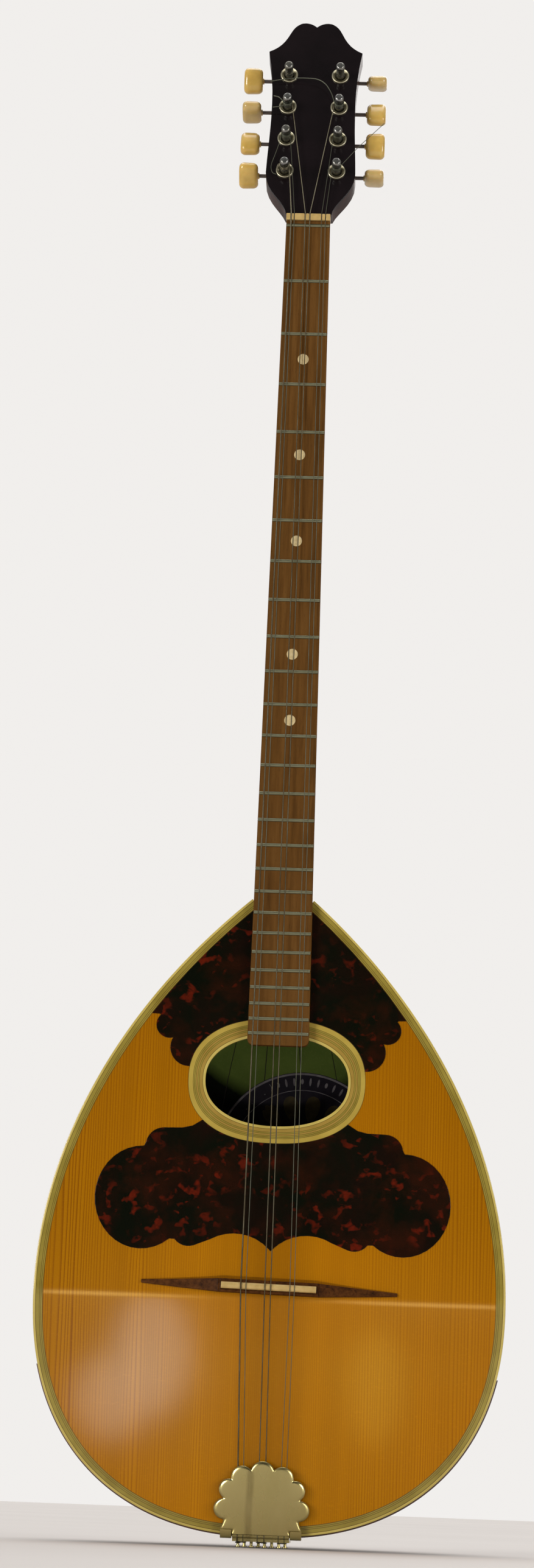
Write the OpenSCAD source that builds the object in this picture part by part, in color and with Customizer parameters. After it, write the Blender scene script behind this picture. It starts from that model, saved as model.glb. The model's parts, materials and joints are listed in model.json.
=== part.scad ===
// Long-necked bowl-back mandolin with eight worm-gear tuners, in millimetres.
// +Z runs up the neck and the soundboard faces -Y. The origin lies on the soundboard's
// plane and centre line, level with its tail edge.

/* [Scale] */
// String length from the zero fret to the saddle
scale_len = 670; // [660:1:680]
// Number of frets, without the zero fret
fret_count = 26; // [24:1:26]

/* [Body] */
// Half the body's greatest width
body_half = 142; // [138:1:146]
// Greatest depth of the bowl behind the soundboard
body_depth = 155; // [145:1:165]
// Length from the crease under the bridge to the tail edge
tail_len = 140; // [136:1:144]
// Length from the crease to the neck joint
upper_len = 243; // [238:1:248]
// Backward slope of the soundboard below the crease, in degrees
cant = 6; // [3:1:8]
// Thickness of the soundboard
top_t = 2.6; // [2:0.1:3]
// Number of ribs in the bowl
rib_count = 13; // [11:2:17]
// Thickness of a rib
rib_t = 2.2; // [1.8:0.1:2.6]
// Width of the binding and purfling round the soundboard
binding_w = 6; // [4:0.5:8]

/* [Neck] */
// Half width of the fretboard at the zero fret
nut_half = 14; // [13:0.1:15]
// Half width that the fretboard gains over one scale length
board_taper = 6; // [5:0.1:8]
// Thickness of the fretboard
board_t = 6; // [5:0.5:7]
// Depth of the neck wood behind the fretboard at the nut
neck_t = 15; // [14:0.5:18]
// Depth of the heel where it meets the bowl
heel_t = 38; // [34:1:42]

/* [Headstock] */
// Backward tilt of the headstock, in degrees
head_tilt = 12; // [10:1:14]
// Thickness of the headstock's core
core_t = 12.5; // [11:0.5:14]
// Thickness of the headstock's facing
veneer_t = 1.5; // [1:0.1:2]

/* [Tuners] */
// Distance from one string post to the next
post_pitch = 24.7; // [24:0.1:25]
// Distance of the posts from the centre line
post_x = 16.7; // [16:0.1:17]
// Height of a string post above the headstock's face
post_h = 12.5; // [11:0.5:14]
// Teeth on a worm gear
gear_teeth = 14; // [14:1:15]
// Distance from a post's axis to its worm's axis
mesh_dist = 8; // [7.8:0.1:8.2]

/* [Bridge and tailpiece] */
// Length of the bridge's base
bridge_len = 154; // [140:1:160]
// Height of the saddle's top above the soundboard
saddle_h = 11.5; // [10:0.5:13]
// Turn of the floating bridge as it stands, in degrees
bridge_skew = 1.2; // [0:0.1:2]

/* [Hidden] */
SIDES = ["l", "r"];
ROWS = [1, 2, 3, 4];
$fn = 48;

// Heights along the instrument
joint_z = tail_len + upper_len;
saddle_z = tail_len + 6;
zero_z = saddle_z + scale_len + 4;
nut_low = zero_z + 3.2;
nut_high = zero_z + 7.5;
head_z = zero_z + 8;
head_y = -4;
board_end = zero_z - scale_len * (1 - pow(2, -fret_count / 12)) - 7.2;
hole_z = tail_len + 131;

// Body outline: a superellipse below the crease and a cubic curve above it
tail_power = 2.3;
joint_half = 19;
upper_pull = 85;
joint_pull = 70;
joint_slope = 1.15;
depth_slope = 1.05;
// Half the glue line between two ribs, and where the ribs end under the clasp
seam = 0.06;
rib_end = 0.933;
block_gap = 0.4;

// Braces under the soundboard: height along the instrument and half length
BRACES = [[306, 75], [232, 115], [166, 131]];
brace_t = 5;
brace_h = 12;

// Soundhole and rosette
hole_rx = 43.5;
hole_rz = 27.6;
ring_w = 10.5;
ring_lift = 0.1;
ring_t = 1.2;

// Neck and fret wire
fret_h = 1;
fret_w = 2.2;
tang_w = 0.5;
tang_h = 1.6;
dot_r = 3.5;

// Tuner machine, measured from the headstock's face
head_t = core_t + veneer_t;
first_post = 33.2;
screw_low = 9.5;
screw_high = 14.6;
plate_t = 1.2;
worm_y = head_t + plate_t + 3.2;
worm_r = 2.85;
worm_core = 1.6;
worm_turns = 3.4;
gear_r = mesh_dist - 2.3;
gear_face = 2.8;
tooth_add = 0.55;
tooth_ded = 0.75;
thread_pitch = 2 * PI * gear_r / gear_teeth;
shaft_r = 1.25;
post_r = 2.95;
waist_r = 2.5;
string_hole_h = 6.5;
string_hole_r = 0.9;
bush_r = 4.15;
lug_in = 6.2;
lug_t = 1.8;
shaft_fit = 0.06;
button_x = 34.6;
button_w = 12.4;
button_tall = 17.6;
button_thick = 9;
// Rest angle of each button about its shaft, left row then right row, tip to nut
button_turns = [[-16.6, -80.6, 11, -56.6], [-109.6, 13.8, -11.6, -99]];

// Tailpiece hinge and plate
hinge_y = 11.8;
hinge_z = 0.6;
hinge_r = 1.9;
hinge_pin_r = 0.8;
cover_lean = 8.25;
cover_gap = 4;
cover_t = 0.8;
base_z = -3.1;
base_t = 1.2;
base_half = 17;
hook_xs = [-14, -10.5, -6, -2, 2, 6, 10.5, 14];
screw_xs = [-12, 0, 12];
screw_y = 42;

// Strings: row of the post on each side, x at the nut, the saddle and the tail, radius
STRINGS = [
    ["l", 4, -11, -16.6, -14, 0.45], ["l", 3, -9, -13.5, -10.5, 0.22],
    ["l", 2, -2, -2.2, -2, 0.33], ["r", 2, 1, 1.3, 2, 0.33],
    ["r", 3, 8.5, 12.8, 10.5, 0.2], ["r", 4, 11, 15.5, 14, 0.2]
];

// ---- General functions ----

function unit(v) = v / norm(v);
function flat(list) = [for (a = list) for (b = a) b];
function side_of(side) = side == "l" ? -1 : 1;
function reverse(list) = [for (i = [len(list) - 1:-1:0]) list[i]];
function mirrored(half) =
    concat(half, [for (p = reverse(half)) if (abs(p[0]) > 0.001) [-p[0], p[1]]]);
function bezier(p, s) = p[0] * pow(1 - s, 3) + p[1] * 3 * s * pow(1 - s, 2)
    + p[2] * 3 * s * s * (1 - s) + p[3] * pow(s, 3);
function curve(p, steps) = [for (i = [1:steps]) bezier(p, i / steps)];
function arc(c, rx, rz, from, to, steps) =
    [for (i = [0:steps]) let (a = from + (to - from) * i / steps) [c[0] + rx * cos(a), c[1] + rz * sin(a)]];
function spow(v, e) = sign(v) * pow(abs(v), e);
function oval(rx, rz, power, steps) = [for (i = [0:steps - 1]) let (a = 360 * i / steps)
    [rx * spow(cos(a), 2 / power), rz * spow(sin(a), 2 / power)]];
function total(list, i = 0) = i >= len(list) ? [0, 0, 0] : list[i] + total(list, i + 1);
function area_vector(r) = total([for (i = [1:len(r) - 2]) cross(r[i] - r[0], r[i + 1] - r[0])]);

// A closed solid through a list of equal rings with an even number of points
module loft(rings) {
    n = len(rings[0]);
    last = (len(rings) - 1) * n;
    sides = [for (j = [0:len(rings) - 2]) for (m = [0:n - 1])
        let (a = j * n + m, b = j * n + (m + 1) % n)
        each [[a, b, b + n], [a, b + n, a + n]]];
    caps = [for (m = [0:n / 2 - 2]) each [
        [m, n - 1 - m, n - 2 - m], [m, n - 2 - m, m + 1],
        [last + m, last + m + 1, last + n - 2 - m], [last + m, last + n - 2 - m, last + n - 1 - m]]];
    faces = concat(sides, caps);
    forward = area_vector(rings[0]) * (total(rings[1]) - total(rings[0])) > 0;
    polyhedron(flat(rings), forward ? [for (f = faces) reverse(f)] : faces);
}

// A flat shape drawn in X and Z, from y = front to y = back
module slab(front, back) {
    translate([0, back, 0]) rotate([90, 0, 0]) linear_extrude(back - front) children();
}

// A flat shape drawn in Y and Z, from x = -half to x = half
module bar(half) {
    rotate([90, 0, 90]) translate([0, 0, -half]) linear_extrude(2 * half) children();
}

// A cylinder along X that starts at point p
module rod(p, r, len) {
    translate(p) rotate([0, 90, 0]) cylinder(h = len, r = r);
}

// ---- Body surfaces ----

function top_y(z) = max(0, tail_len - z) * tan(cant);
function upper_at(s) = bezier([[body_half, 0], [body_half, upper_pull],
    [joint_half + joint_slope * joint_pull, upper_len - joint_pull], [joint_half, upper_len]], s);
function upper_depth(s) = bezier([body_depth, body_depth,
    heel_t - 2 + depth_slope * joint_pull, heel_t - 2], s);
function lower_at(a) = [body_half * pow(cos(a), 2 / tail_power), -tail_len * pow(sin(a), 2 / tail_power)];

// Half width, depth and height of the bowl's section at k: 0 at the neck joint,
// 1 at the crease and 2 at the tail
function section(k) = k < 1
    ? [upper_at(1 - k)[0], upper_depth(1 - k), tail_len + upper_at(1 - k)[1]]
    : let (p = lower_at(90 * (k - 1))) [p[0], body_depth * p[0] / body_half, tail_len + p[1]];
function bowl(th, k) = let (q = section(k))
    [q[0] * cos(th), top_t + top_y(q[2]) * (1 - q[1] / body_depth * sin(th)) + q[1] * sin(th), q[2]];
function bowl_normal(th, k) =
    unit(cross(bowl(th, k + 0.01) - bowl(th, k - 0.01), bowl(th + 0.5, k) - bowl(th - 0.5, k)));
function bowl_off(th, k, off) = bowl(th, k) + off * bowl_normal(th, k);

// The rim from the neck joint down to the tail, right half, in X and Z
rim = concat([for (i = [16:-1:0]) upper_at(i / 16) + [0, tail_len]],
    [for (i = [1:24]) lower_at(i * 3.75) + [0, tail_len]]);
function rim_normal(i) = let (a = rim[max(i - 1, 0)], b = i < len(rim) - 1 ? rim[i + 1] : [-a[0], a[1]])
    unit([a[1] - b[1], b[0] - a[0]]);
function rim_inset(d) = mirrored(concat(
    d > 0 ? [[rim[0][0] - d / rim_normal(0)[0], rim[0][1]]] : [],
    [for (i = [0:len(rim) - 1]) rim[i] - d * rim_normal(i)]));

// The stretch between two depths behind the soundboard's bent face, as a Y and Z outline
module top_layer(from, to) {
    bar(body_half + 1) polygon([[from, joint_z], [from, tail_len], [from + top_y(-1), -1],
        [to + top_y(-1), -1], [to, tail_len], [to, joint_z]]);
}

module hole_shape(grow = 0) {
    power = grow > 0 ? 2.35 : 2.2;
    translate([0, hole_z]) polygon(oval(hole_rx + grow, hole_rz + grow, power, 72));
}

function board_half(z) = nut_half + board_taper * (zero_z - z) / scale_len;
function fret_z(n) = zero_z - scale_len * (1 - pow(2, -n / 12));

module soundboard() {
    color([0.80, 0.47, 0.12]) difference() {
        intersection() {
            slab(-1, top_t + top_y(-1)) polygon(rim_inset(binding_w));
            top_layer(0, top_t);
        }
        slab(-1, top_t + 1) hole_shape();
        slab(-1, ring_t) hole_shape(ring_w);
    }
}

module edge_binding() {
    color([0.90, 0.82, 0.55]) intersection() {
        slab(-1, top_t + top_y(-1)) difference() {
            polygon(rim_inset(0));
            polygon(rim_inset(binding_w - 0.02));
        }
        top_layer(0, top_t);
    }
}

module rosette() {
    color([0.86, 0.78, 0.55]) slab(-ring_lift, ring_t) difference() {
        hole_shape(ring_w - 0.02);
        hole_shape();
    }
}

// Staves from the neck joint to the tail, with a glue line between them
module bowl_ribs() {
    segs = 3;
    wide = 180 / rib_count;
    ks = concat([for (i = [0:12]) i / 13], [for (i = [0:12]) 1 + rib_end * i / 12]);
    color([0.45, 0.22, 0.10]) for (i = [0:rib_count - 1]) loft([for (k = ks)
        let (gap = seam / section(k)[0] * 180 / PI,
            ths = [for (j = [0:segs]) i * wide + gap + (wide - 2 * gap) * j / segs])
        concat([for (th = ths) bowl(th, k)], [for (th = reverse(ths)) bowl_off(th, k, -rib_t)])]);
}

// Point on the bowl's outside at angle a round the tail and depth d behind the rim
function tail_point(a, d) =
    let (q = pow(d / body_depth, 2), x = sqrt(1 - q) * sin(a),
        z = tail_len - tail_len * pow(1 - pow(x * x + q, tail_power / 2), 1 / tail_power))
    [body_half * x, top_t + top_y(z) * (1 - d / body_depth) + d, z];
function tail_normal(a, d) = unit(cross(tail_point(a + 0.5, d) - tail_point(a - 0.5, d),
    tail_point(a, d + 0.5) - tail_point(a, d - 0.5)));
function tail_off(a, d, off) = tail_point(a, d) - off * tail_normal(a, d);

module end_clasp() {
    steps = 6;
    color([0.32, 0.15, 0.07]) loft([for (a = [-76:4:76])
        let (deep = 12 + 34 * pow(cos(a), 2))
        concat([for (j = [0:steps]) tail_off(a, 0.6 + deep * j / steps, 1.7)],
            [for (j = [steps:-1:0]) tail_off(a, 0.6 + deep * j / steps, 0.3)])]);
}

module neck_block() {
    sides = 11;
    color([0.75, 0.58, 0.38]) loft([for (i = [0:4]) let (k = 0.012 + 0.028 * i) [for (j = [0:sides])
        bowl_off(180 * j / sides, k, -rib_t - 0.5) + [0, j % sides == 0 ? block_gap : 0, 0]]]);
}

module tail_block() {
    color([0.75, 0.58, 0.38]) bar(19) polygon([
        [top_y(3.6) + 3.2, 3.6], [30, 4.6], [48, 7.2], [62, 11.5], [58, 26], [top_y(26) + 3.2, 26]]);
}

module top_braces() {
    color([0.82, 0.66, 0.42]) for (b = BRACES) slab(top_t + 0.02, top_t + brace_h)
        translate([-b[1], b[0] - brace_t / 2]) square([2 * b[1], brace_t]);
}

module rim_lining() {
    color([0.78, 0.62, 0.40]) intersection() {
        slab(0, 30) difference() {
            polygon(rim_inset(3.4));
            polygon(rim_inset(9));
            translate([-100, joint_z - 42]) square([200, 60]);
            translate([-20, -1]) square([40, 20]);
        }
        top_layer(top_t + 0.3, top_t + 6.4);
    }
}

// ---- Guards ----

module upper_guard() {
    lobes = [[66.5, 303.5, 8.2], [54, 290, 11.6]];
    color([0.10, 0.03, 0.02]) for (m = [0, 1]) mirror([m, 0, 0]) slab(-0.5, -0.02) difference() {
        intersection() {
            polygon(rim_inset(binding_w));
            union() {
                polygon([[17, 384], [90, 384], [90, 310.5], [73, 310], [66, 304], [54, 291], [17, 291]]);
                for (b = lobes) translate([b[0], b[1]]) circle(b[2]);
            }
        }
        hole_shape(ring_w + 0.02);
        polygon([[-1, 400], [board_half(400) + 0.2, 400], [board_half(280) + 0.2, 280], [-1, 280]]);
    }
}

module lower_guard() {
    half = concat(
        [[0, 168]],
        arc([22, 148.8], 29.2, 29.2, 136, 60, 8),
        arc([50, 180], 10.5, 10.5, 250, 322, 6),
        arc([79, 198], 28.5, 31, -128, 90, 22),
        arc([67, 229.5], 11, 11, 8, 90, 7),
        [[56, 240.8], [50, 242.2], [44, 246], [30, 262], [0, 262]]);
    color([0.10, 0.03, 0.02]) slab(-0.5, -0.02) difference() {
        polygon(mirrored(half));
        hole_shape(ring_w + 0.02);
    }
}

// ---- Neck, fretboard and headstock ----

module on_head() {
    translate([0, head_y, head_z]) rotate([-head_tilt, 0, 0]) children();
}
function head_point(p) = [p[0], head_y + p[1] * cos(head_tilt) + p[2] * sin(head_tilt),
    head_z - p[1] * sin(head_tilt) + p[2] * cos(head_tilt)];
// Y of the headstock's back plane at height z
function head_back(z) = head_y + head_t / cos(head_tilt) + (z - head_z) * tan(head_tilt);

module neck() {
    heel_len = 77;
    heel_top = joint_z + heel_len;
    function depth(z) = neck_t + 2.2 * (zero_z - z) / (zero_z - joint_z)
        + (z < heel_top ? (heel_t - neck_t - 2) * pow((heel_top - z) / heel_len, 2.2) : 0);
    function ring(z, half, top, bottom) =
        [for (i = [0:15]) let (a = 180 * i / 15)
            [half * spow(cos(a), 0.85), top + (bottom - top) * pow(max(sin(a), 0), 0.85), z]];
    shank = concat([for (i = [0:10]) joint_z + heel_len * i / 10],
        [for (z = [joint_z + 120:70:zero_z - 20]) z], [head_z]);
    volute = [[0, 1], [7, 0.96], [13, 0.82], [18, 0.58], [21, 0.25]];
    color([0.36, 0.12, 0.06]) loft(concat(
        [for (z = shank) ring(z, board_half(z), 0, depth(z))],
        [for (v = volute) ring(head_z + v[0], nut_half * v[1], head_back(head_z + v[0]), neck_t + 0.4)]));
}

module fretboard() {
    half = board_half(board_end);
    corner = 3.8;
    color([0.42, 0.24, 0.12]) difference() {
        slab(-board_t, 0) polygon(concat([[-board_half(nut_low), nut_low], [board_half(nut_low), nut_low]],
            arc([half - corner, board_end + corner], corner, corner, 0, -90, 6),
            arc([corner - half, board_end + corner], corner, corner, -90, -180, 6)));
        for (n = [0:fret_count])
            translate([-25, -board_t - 1, fret_z(n) - tang_w / 2]) cube([50, tang_h + 1.1, tang_w]);
        for (n = [3, 5, 7, 10, 12]) translate([0, -board_t - 0.01, (fret_z(n) + fret_z(n - 1)) / 2])
            rotate([-90, 0, 0]) cylinder(h = 1.01, r = dot_r);
        slab(-ring_lift - 0.02, 1) hole_shape(ring_w);
    }
}

module frets() {
    crown = concat([for (i = [0:8]) [-board_t - fret_h * sin(22.5 * i), fret_w / 2 * cos(22.5 * i)]],
        [[-board_t, -tang_w / 2 + 0.01], [-board_t + tang_h, -tang_w / 2 + 0.01],
        [-board_t + tang_h, tang_w / 2 - 0.01], [-board_t, tang_w / 2 - 0.01]]);
    color([0.72, 0.70, 0.60]) for (n = [0:fret_count])
        translate([0, 0, fret_z(n)]) bar(board_half(fret_z(n)) - 0.3) polygon(crown);
}

module fret_dots() {
    color([0.90, 0.85, 0.68]) for (n = [3, 5, 7, 10, 12])
        translate([0, -board_t - 0.02, (fret_z(n) + fret_z(n - 1)) / 2])
            rotate([-90, 0, 0]) cylinder(h = 1, r = dot_r - 0.02);
}

module nut() {
    color([0.90, 0.86, 0.72]) difference() {
        translate([-nut_half - 0.1, -board_t - 1.8, nut_low])
            cube([2 * nut_half + 0.2, board_t + 1.8, nut_high - nut_low]);
        for (s = STRINGS)
            translate([s[2] - s[5] - 0.12, -board_t - 4, nut_low - 1]) cube([2 * s[5] + 0.24, 3.15, 8]);
    }
}

function head_half() = concat(
    [[14.6, -6], [14.6, 0]],
    curve([[14.6, 0], [14.6, 9], [28.9, 16], [28.9, 32]], 8),
    curve([[28.9, 32], [28.3, 58], [24.3, 90], [30.6, 126]], 10),
    curve([[30.6, 126], [24, 129], [20.5, 133], [17, 140.8]], 6),
    curve([[17, 140.8], [14.5, 146.5], [11, 149.1], [7.5, 149.1]], 6),
    curve([[7.5, 149.1], [4, 149.1], [1.8, 147.6], [0, 146]], 5));

function post_z(row) = first_post + (4 - row) * post_pitch;

module head_layer(from, to, hole_r) {
    difference() {
        on_head() difference() {
            slab(from, to) polygon(mirrored(head_half()));
            for (side = SIDES) for (row = ROWS)
                translate([side_of(side) * post_x, from - 1, post_z(row)])
                    rotate([-90, 0, 0]) cylinder(h = to - from + 2, r = hole_r);
        }
        translate([-40, -30, head_z - 20]) cube([80, 60, 20]);
    }
}

function screw_spots() = concat([first_post - screw_low], [for (row = ROWS) post_z(row) + screw_high]);

module headstock() {
    color([0.20, 0.08, 0.05]) difference() {
        head_layer(veneer_t, head_t, bush_r + 0.03);
        on_head() for (side = SIDES) for (z = screw_spots())
            translate([side_of(side) * post_x, head_t - 8, z]) rotate([-90, 0, 0]) cylinder(h = 9, r = 1.12);
    }
}

module headstock_veneer() {
    color([0.05, 0.04, 0.04]) head_layer(0, veneer_t, bush_r + 0.03);
}

// ---- Tuners ----

module post_bushings() {
    color([0.78, 0.78, 0.76]) on_head() for (side = SIDES) for (row = ROWS)
        translate([side_of(side) * post_x, 0, post_z(row)]) rotate([-90, 0, 0])
            rotate_extrude() polygon([[post_r + 0.07, -1.3], [5.2, -1.3], [5.75, -0.7], [5.75, -0.01],
                [bush_r, -0.01], [bush_r, 8], [post_r + 0.07, 8]]);
}

module tuner_plates() {
    color([0.70, 0.70, 0.68]) on_head() for (side = SIDES) difference() {
        union() {
            slab(head_t + 0.01, head_t + plate_t) polygon(plate_outline(side_of(side) * post_x));
            for (row = ROWS) for (end = [-1, 1])
                translate([side_of(side) * post_x + end * (lug_in + lug_t / 2), 0, post_z(row) + mesh_dist])
                    bar(lug_t / 2) polygon(concat([[head_t + plate_t - 0.2, -2.6]],
                        arc([worm_y, 0], 2.6, 2.6, -90, 90, 10), [[head_t + plate_t - 0.2, 2.6]]));
        }
        for (row = ROWS) {
            translate([side_of(side) * post_x, head_t - 1, post_z(row)])
                rotate([-90, 0, 0]) cylinder(h = 4, r = post_r + 0.07);
            rod([side_of(side) * post_x - 9, worm_y, post_z(row) + mesh_dist], shaft_r + shaft_fit, 18);
        }
        for (z = screw_spots())
            translate([side_of(side) * post_x, head_t - 1, z]) rotate([-90, 0, 0]) cylinder(h = 4, r = 1.2);
    }
}
function plate_outline(x) = concat(
    arc([x + 3, post_z(1) + 13.8], 5, 5, 0, 90, 6), arc([x - 3, post_z(1) + 13.8], 5, 5, 90, 180, 6),
    arc([x - 3, first_post - 9.5], 5, 5, 180, 270, 6), arc([x + 3, first_post - 9.5], 5, 5, 270, 360, 6));

module tuner_screws() {
    back = head_t + plate_t;
    color([0.75, 0.75, 0.72]) on_head() for (side = SIDES) for (z = screw_spots())
        translate([side_of(side) * post_x, 0, z]) difference() {
            rotate([-90, 0, 0]) rotate_extrude() polygon([[0, head_t - 7.5], [0.5, head_t - 7],
                [1.1, head_t - 6], [1.1, back + 0.01], [2, back + 0.01], [1.7, back + 0.7],
                [1, back + 1.05], [0, back + 1.15]]);
            translate([-3, back + 0.6, -0.25]) cube([6, 2, 0.5]);
        }
}

// Button with its long section turned by angle about the shaft
module tuner_button(side, row) {
    x = side_of(side) * button_x;
    z = post_z(row) + mesh_dist;
    angle = button_turns[side == "l" ? 0 : 1][row - 1];
    sizes = [[0, 0.74], [1.1, 0.92], [3, 1], [9.4, 1], [11.3, 0.92], [12.4, 0.74]];
    color([0.88, 0.72, 0.36]) on_head() difference() {
        loft([for (s = sizes) [for (i = [0:17]) let (
            a = 20 * i + 10,
            u = s[1] * button_tall / 2 * spow(cos(a), 2 / 2.6),
            v = s[1] * button_thick / 2 * spow(sin(a), 2 / 2.6))
            [x + side_of(side) * s[0] * button_w / 12.4,
                worm_y + u * sin(angle) + v * cos(angle), z + u * cos(angle) - v * sin(angle)]]]);
        rod([x - (side == "l" ? 9 : 1), worm_y, z], shaft_r + 0.02, 10);
    }
}

module worm_shaft(side, row) {
    x = side_of(side) * post_x;
    z = post_z(row) + mesh_dist;
    reach = button_x + 8.8 - post_x;
    start = -(0.25 + worm_turns / 2) * thread_pitch;
    phase = 180 * worm_turns;
    profile = [[-0.55, worm_core - 0.15], [-0.21, worm_r], [0.21, worm_r], [0.55, worm_core - 0.15]];
    color([0.30, 0.28, 0.27]) on_head() {
        translate([x, worm_y, z]) union() {
            rod([side == "l" ? -reach : -8.4, 0, 0], shaft_r, reach + 8.4);
            rod([-5.6, 0, 0], worm_core, 11.2);
            loft([for (i = [0:worm_turns * 14]) let (a = i * 360 / 14)
                [for (p = profile) [start + a / 360 * thread_pitch + p[0],
                    p[1] * cos(a - phase), p[1] * sin(a - phase)]]]);
        }
    }
}

module string_post(side, row) {
    color([0.80, 0.80, 0.78]) on_head()
        translate([side_of(side) * post_x, 0, post_z(row)]) difference() {
            rotate([-90, 0, 0]) rotate_extrude() polygon([
                [0, -post_h], [1.9, -post_h], [2.6, -post_h + 0.5], [post_r, -post_h + 1.4],
                [post_r, -9.6], [waist_r, -8.6], [waist_r, -4.2], [post_r, -2.6],
                [post_r, worm_y - gear_face / 2 - 0.4], [2, worm_y - gear_face / 2 - 0.4],
                [2, worm_y + gear_face / 2], [0, worm_y + gear_face / 2]]);
            rod([-5, -string_hole_h, 0], string_hole_r, 10);
        }
}

module worm_gear(side, row) {
    teeth = flat([for (i = [0:gear_teeth - 1]) let (a = 90 + 360 * i / gear_teeth)
        [for (p = [[-8.2, -tooth_ded], [-2.6, tooth_add], [2.6, tooth_add], [8.2, -tooth_ded]])
            [(gear_r + p[1]) * cos(a + p[0]), (gear_r + p[1]) * sin(a + p[0])]]]);
    back = worm_y + gear_face / 2;
    color([0.74, 0.62, 0.34]) on_head()
        translate([side_of(side) * post_x, 0, post_z(row)]) {
            difference() {
                slab(worm_y - gear_face / 2, back) polygon(teeth);
                translate([0, worm_y - 3, 0]) rotate([-90, 0, 0]) cylinder(h = 6, r = 2.02);
            }
            difference() {
                rotate([-90, 0, 0]) rotate_extrude() polygon([[0, back + 0.02], [2.9, back + 0.02],
                    [2.7, back + 0.8], [1.6, back + 1.3], [0, back + 1.4]]);
                translate([-4, back + 0.8, -0.3]) cube([8, 2, 0.6]);
            }
        }
}

// ---- Bridge ----

module on_bridge() {
    translate([0, 0, saddle_z]) rotate([0, bridge_skew, 0]) children();
}

module bridge_base() {
    half = bridge_len / 2;
    rise = concat([[0, -7.6], [29.5, -7.6], [30.5, -6.4]],
        [for (p = curve([[30.5, -6.4], [42, -4.2], [58, -2.6], [half, -1.9]], 8)) p],
        [[half, -0.02], [52, -0.02], [46, -1.2], [14, -1.2], [8, -0.02], [0, -0.02]]);
    color([0.22, 0.12, 0.07]) on_bridge() difference() {
        intersection() {
            translate([0, 0, -10]) linear_extrude(20) polygon(mirrored(rise));
            slab(-12, 1) polygon([[-half, -1], [-30, -4], [30, -4], [half, -1],
                [half, 1], [30, 4], [-30, 4], [-half, 1]]);
        }
        translate([-28.6, -20, -2.05]) cube([57.2, 13.5, 4.1]);
    }
}

module bridge_saddle() {
    color([0.93, 0.88, 0.74]) on_bridge() bar(28.5) polygon(concat(
        [[-6.52, 2], [-6.52, -2]], arc([-saddle_h + 1.4, 0], 1.4, 2, 270, 90, 8)));
}

// ---- Tailpiece ----

module tailpiece_base() {
    color([0.80, 0.76, 0.62]) difference() {
        union() {
            translate([-base_half, hinge_y + 0.4, base_z]) cube([2 * base_half, 34, base_t]);
            translate([-base_half, hinge_y + 0.4, base_z]) cube([2 * base_half, 2, hinge_z - base_z]);
            rod([-base_half, hinge_y, hinge_z], hinge_r, 2 * base_half);
            for (i = [0:7]) translate([hook_xs[i], i % 2 == 0 ? 26 : 34, base_z - 3.4]) {
                cylinder(h = 3.6, r = 0.9);
                cylinder(h = 0.8, r = 1.5);
            }
        }
        rod([-base_half - 1, hinge_y, hinge_z], hinge_pin_r + 0.01, 2 * base_half + 2);
        for (x = screw_xs) translate([x, screw_y, base_z - 1]) cylinder(h = 4, r = 1.35);
    }
}

module tailpiece_pin() {
    color([0.70, 0.68, 0.60]) rod([-24.2, hinge_y, hinge_z], hinge_pin_r, 48.4);
}

module tailpiece_screws() {
    color([0.78, 0.74, 0.60]) for (x = screw_xs) translate([x, screw_y, 0]) difference() {
        rotate_extrude() polygon([[0, base_z - 1.2], [1.5, base_z - 0.9], [2.4, base_z - 0.02],
            [1.25, base_z - 0.02], [1.25, -1.4], [0, -1.4]]);
        translate([-3, -0.3, base_z - 2]) cube([6, 0.6, 1.4]);
    }
}

module cover_shape(shrink = 0) {
    for (m = [0, 1]) mirror([m, 0]) {
        for (b = [[0, 37, 7.4], [11.8, 34.4, 7], [19.4, 27.1, 6.4], [22.4, 15.6, 6.2]])
            translate([b[0], b[1]]) circle(b[2] - shrink);
        polygon([[0, 38], [12, 36], [20, 28], [22, 14], [22.3 - shrink, 8],
            [24.2 - shrink, 3 + shrink], [0, 3 + shrink]]);
    }
}

module tailpiece_cover() {
    color([0.80, 0.74, 0.56]) translate([0, hinge_y, hinge_z]) {
        rotate([cover_lean, 0, 0]) {
            slab(-cover_gap - cover_t, -cover_gap) cover_shape();
            slab(-cover_gap - 0.2, -cover_gap + 0.7) difference() {
                cover_shape();
                cover_shape(0.8);
            }
            slab(-cover_gap - 0.2, -cover_gap + 3.6) intersection() {
                difference() {
                    cover_shape();
                    cover_shape(0.8);
                }
                for (x = [-40, 16.4]) translate([x, 8]) square([23.6, 40]);
            }
        }
        difference() {
            for (x = [-24.2, base_half + 0.3]) {
                rod([x, 0, 0], 2.1, 6.9);
                translate([x, 0, 0]) rotate([cover_lean, 0, 0])
                    translate([0, -cover_gap - cover_t, -1]) cube([6.9, cover_gap + cover_t, 4.6]);
            }
            rod([-30, 0, 0], hinge_pin_r + 0.06, 60);
        }
    }
}

// ---- Strings ----

function string_route(s) =
    let (r = s[5], m = side_of(s[0]), under = base_z - r - 0.08)
    [
        [s[4], hook_spot(s[4]) - 1.6, under - 0.6],
        [s[4], 15, under], [s[4], hinge_y + 0.2, under],
        [s[4], hinge_y - 1.3 - r, under + 1.1 + r],
        [s[4], hinge_y - hinge_r - r - 0.05, hinge_z],
        [s[3], -saddle_h - r - 0.02, saddle_z - s[3] * sin(bridge_skew)],
        [s[2], -board_t - fret_h - r - 0.02, zero_z],
        [s[2], -board_t - fret_h - r - 0.02, nut_high],
        head_point([m * (post_x - waist_r - r - 0.3), -5, post_z(s[1]) - 0.5])
    ];
function hook_spot(x) = [for (i = [0:7]) if (hook_xs[i] == x) i % 2 == 0 ? 26 : 34][0];

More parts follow.
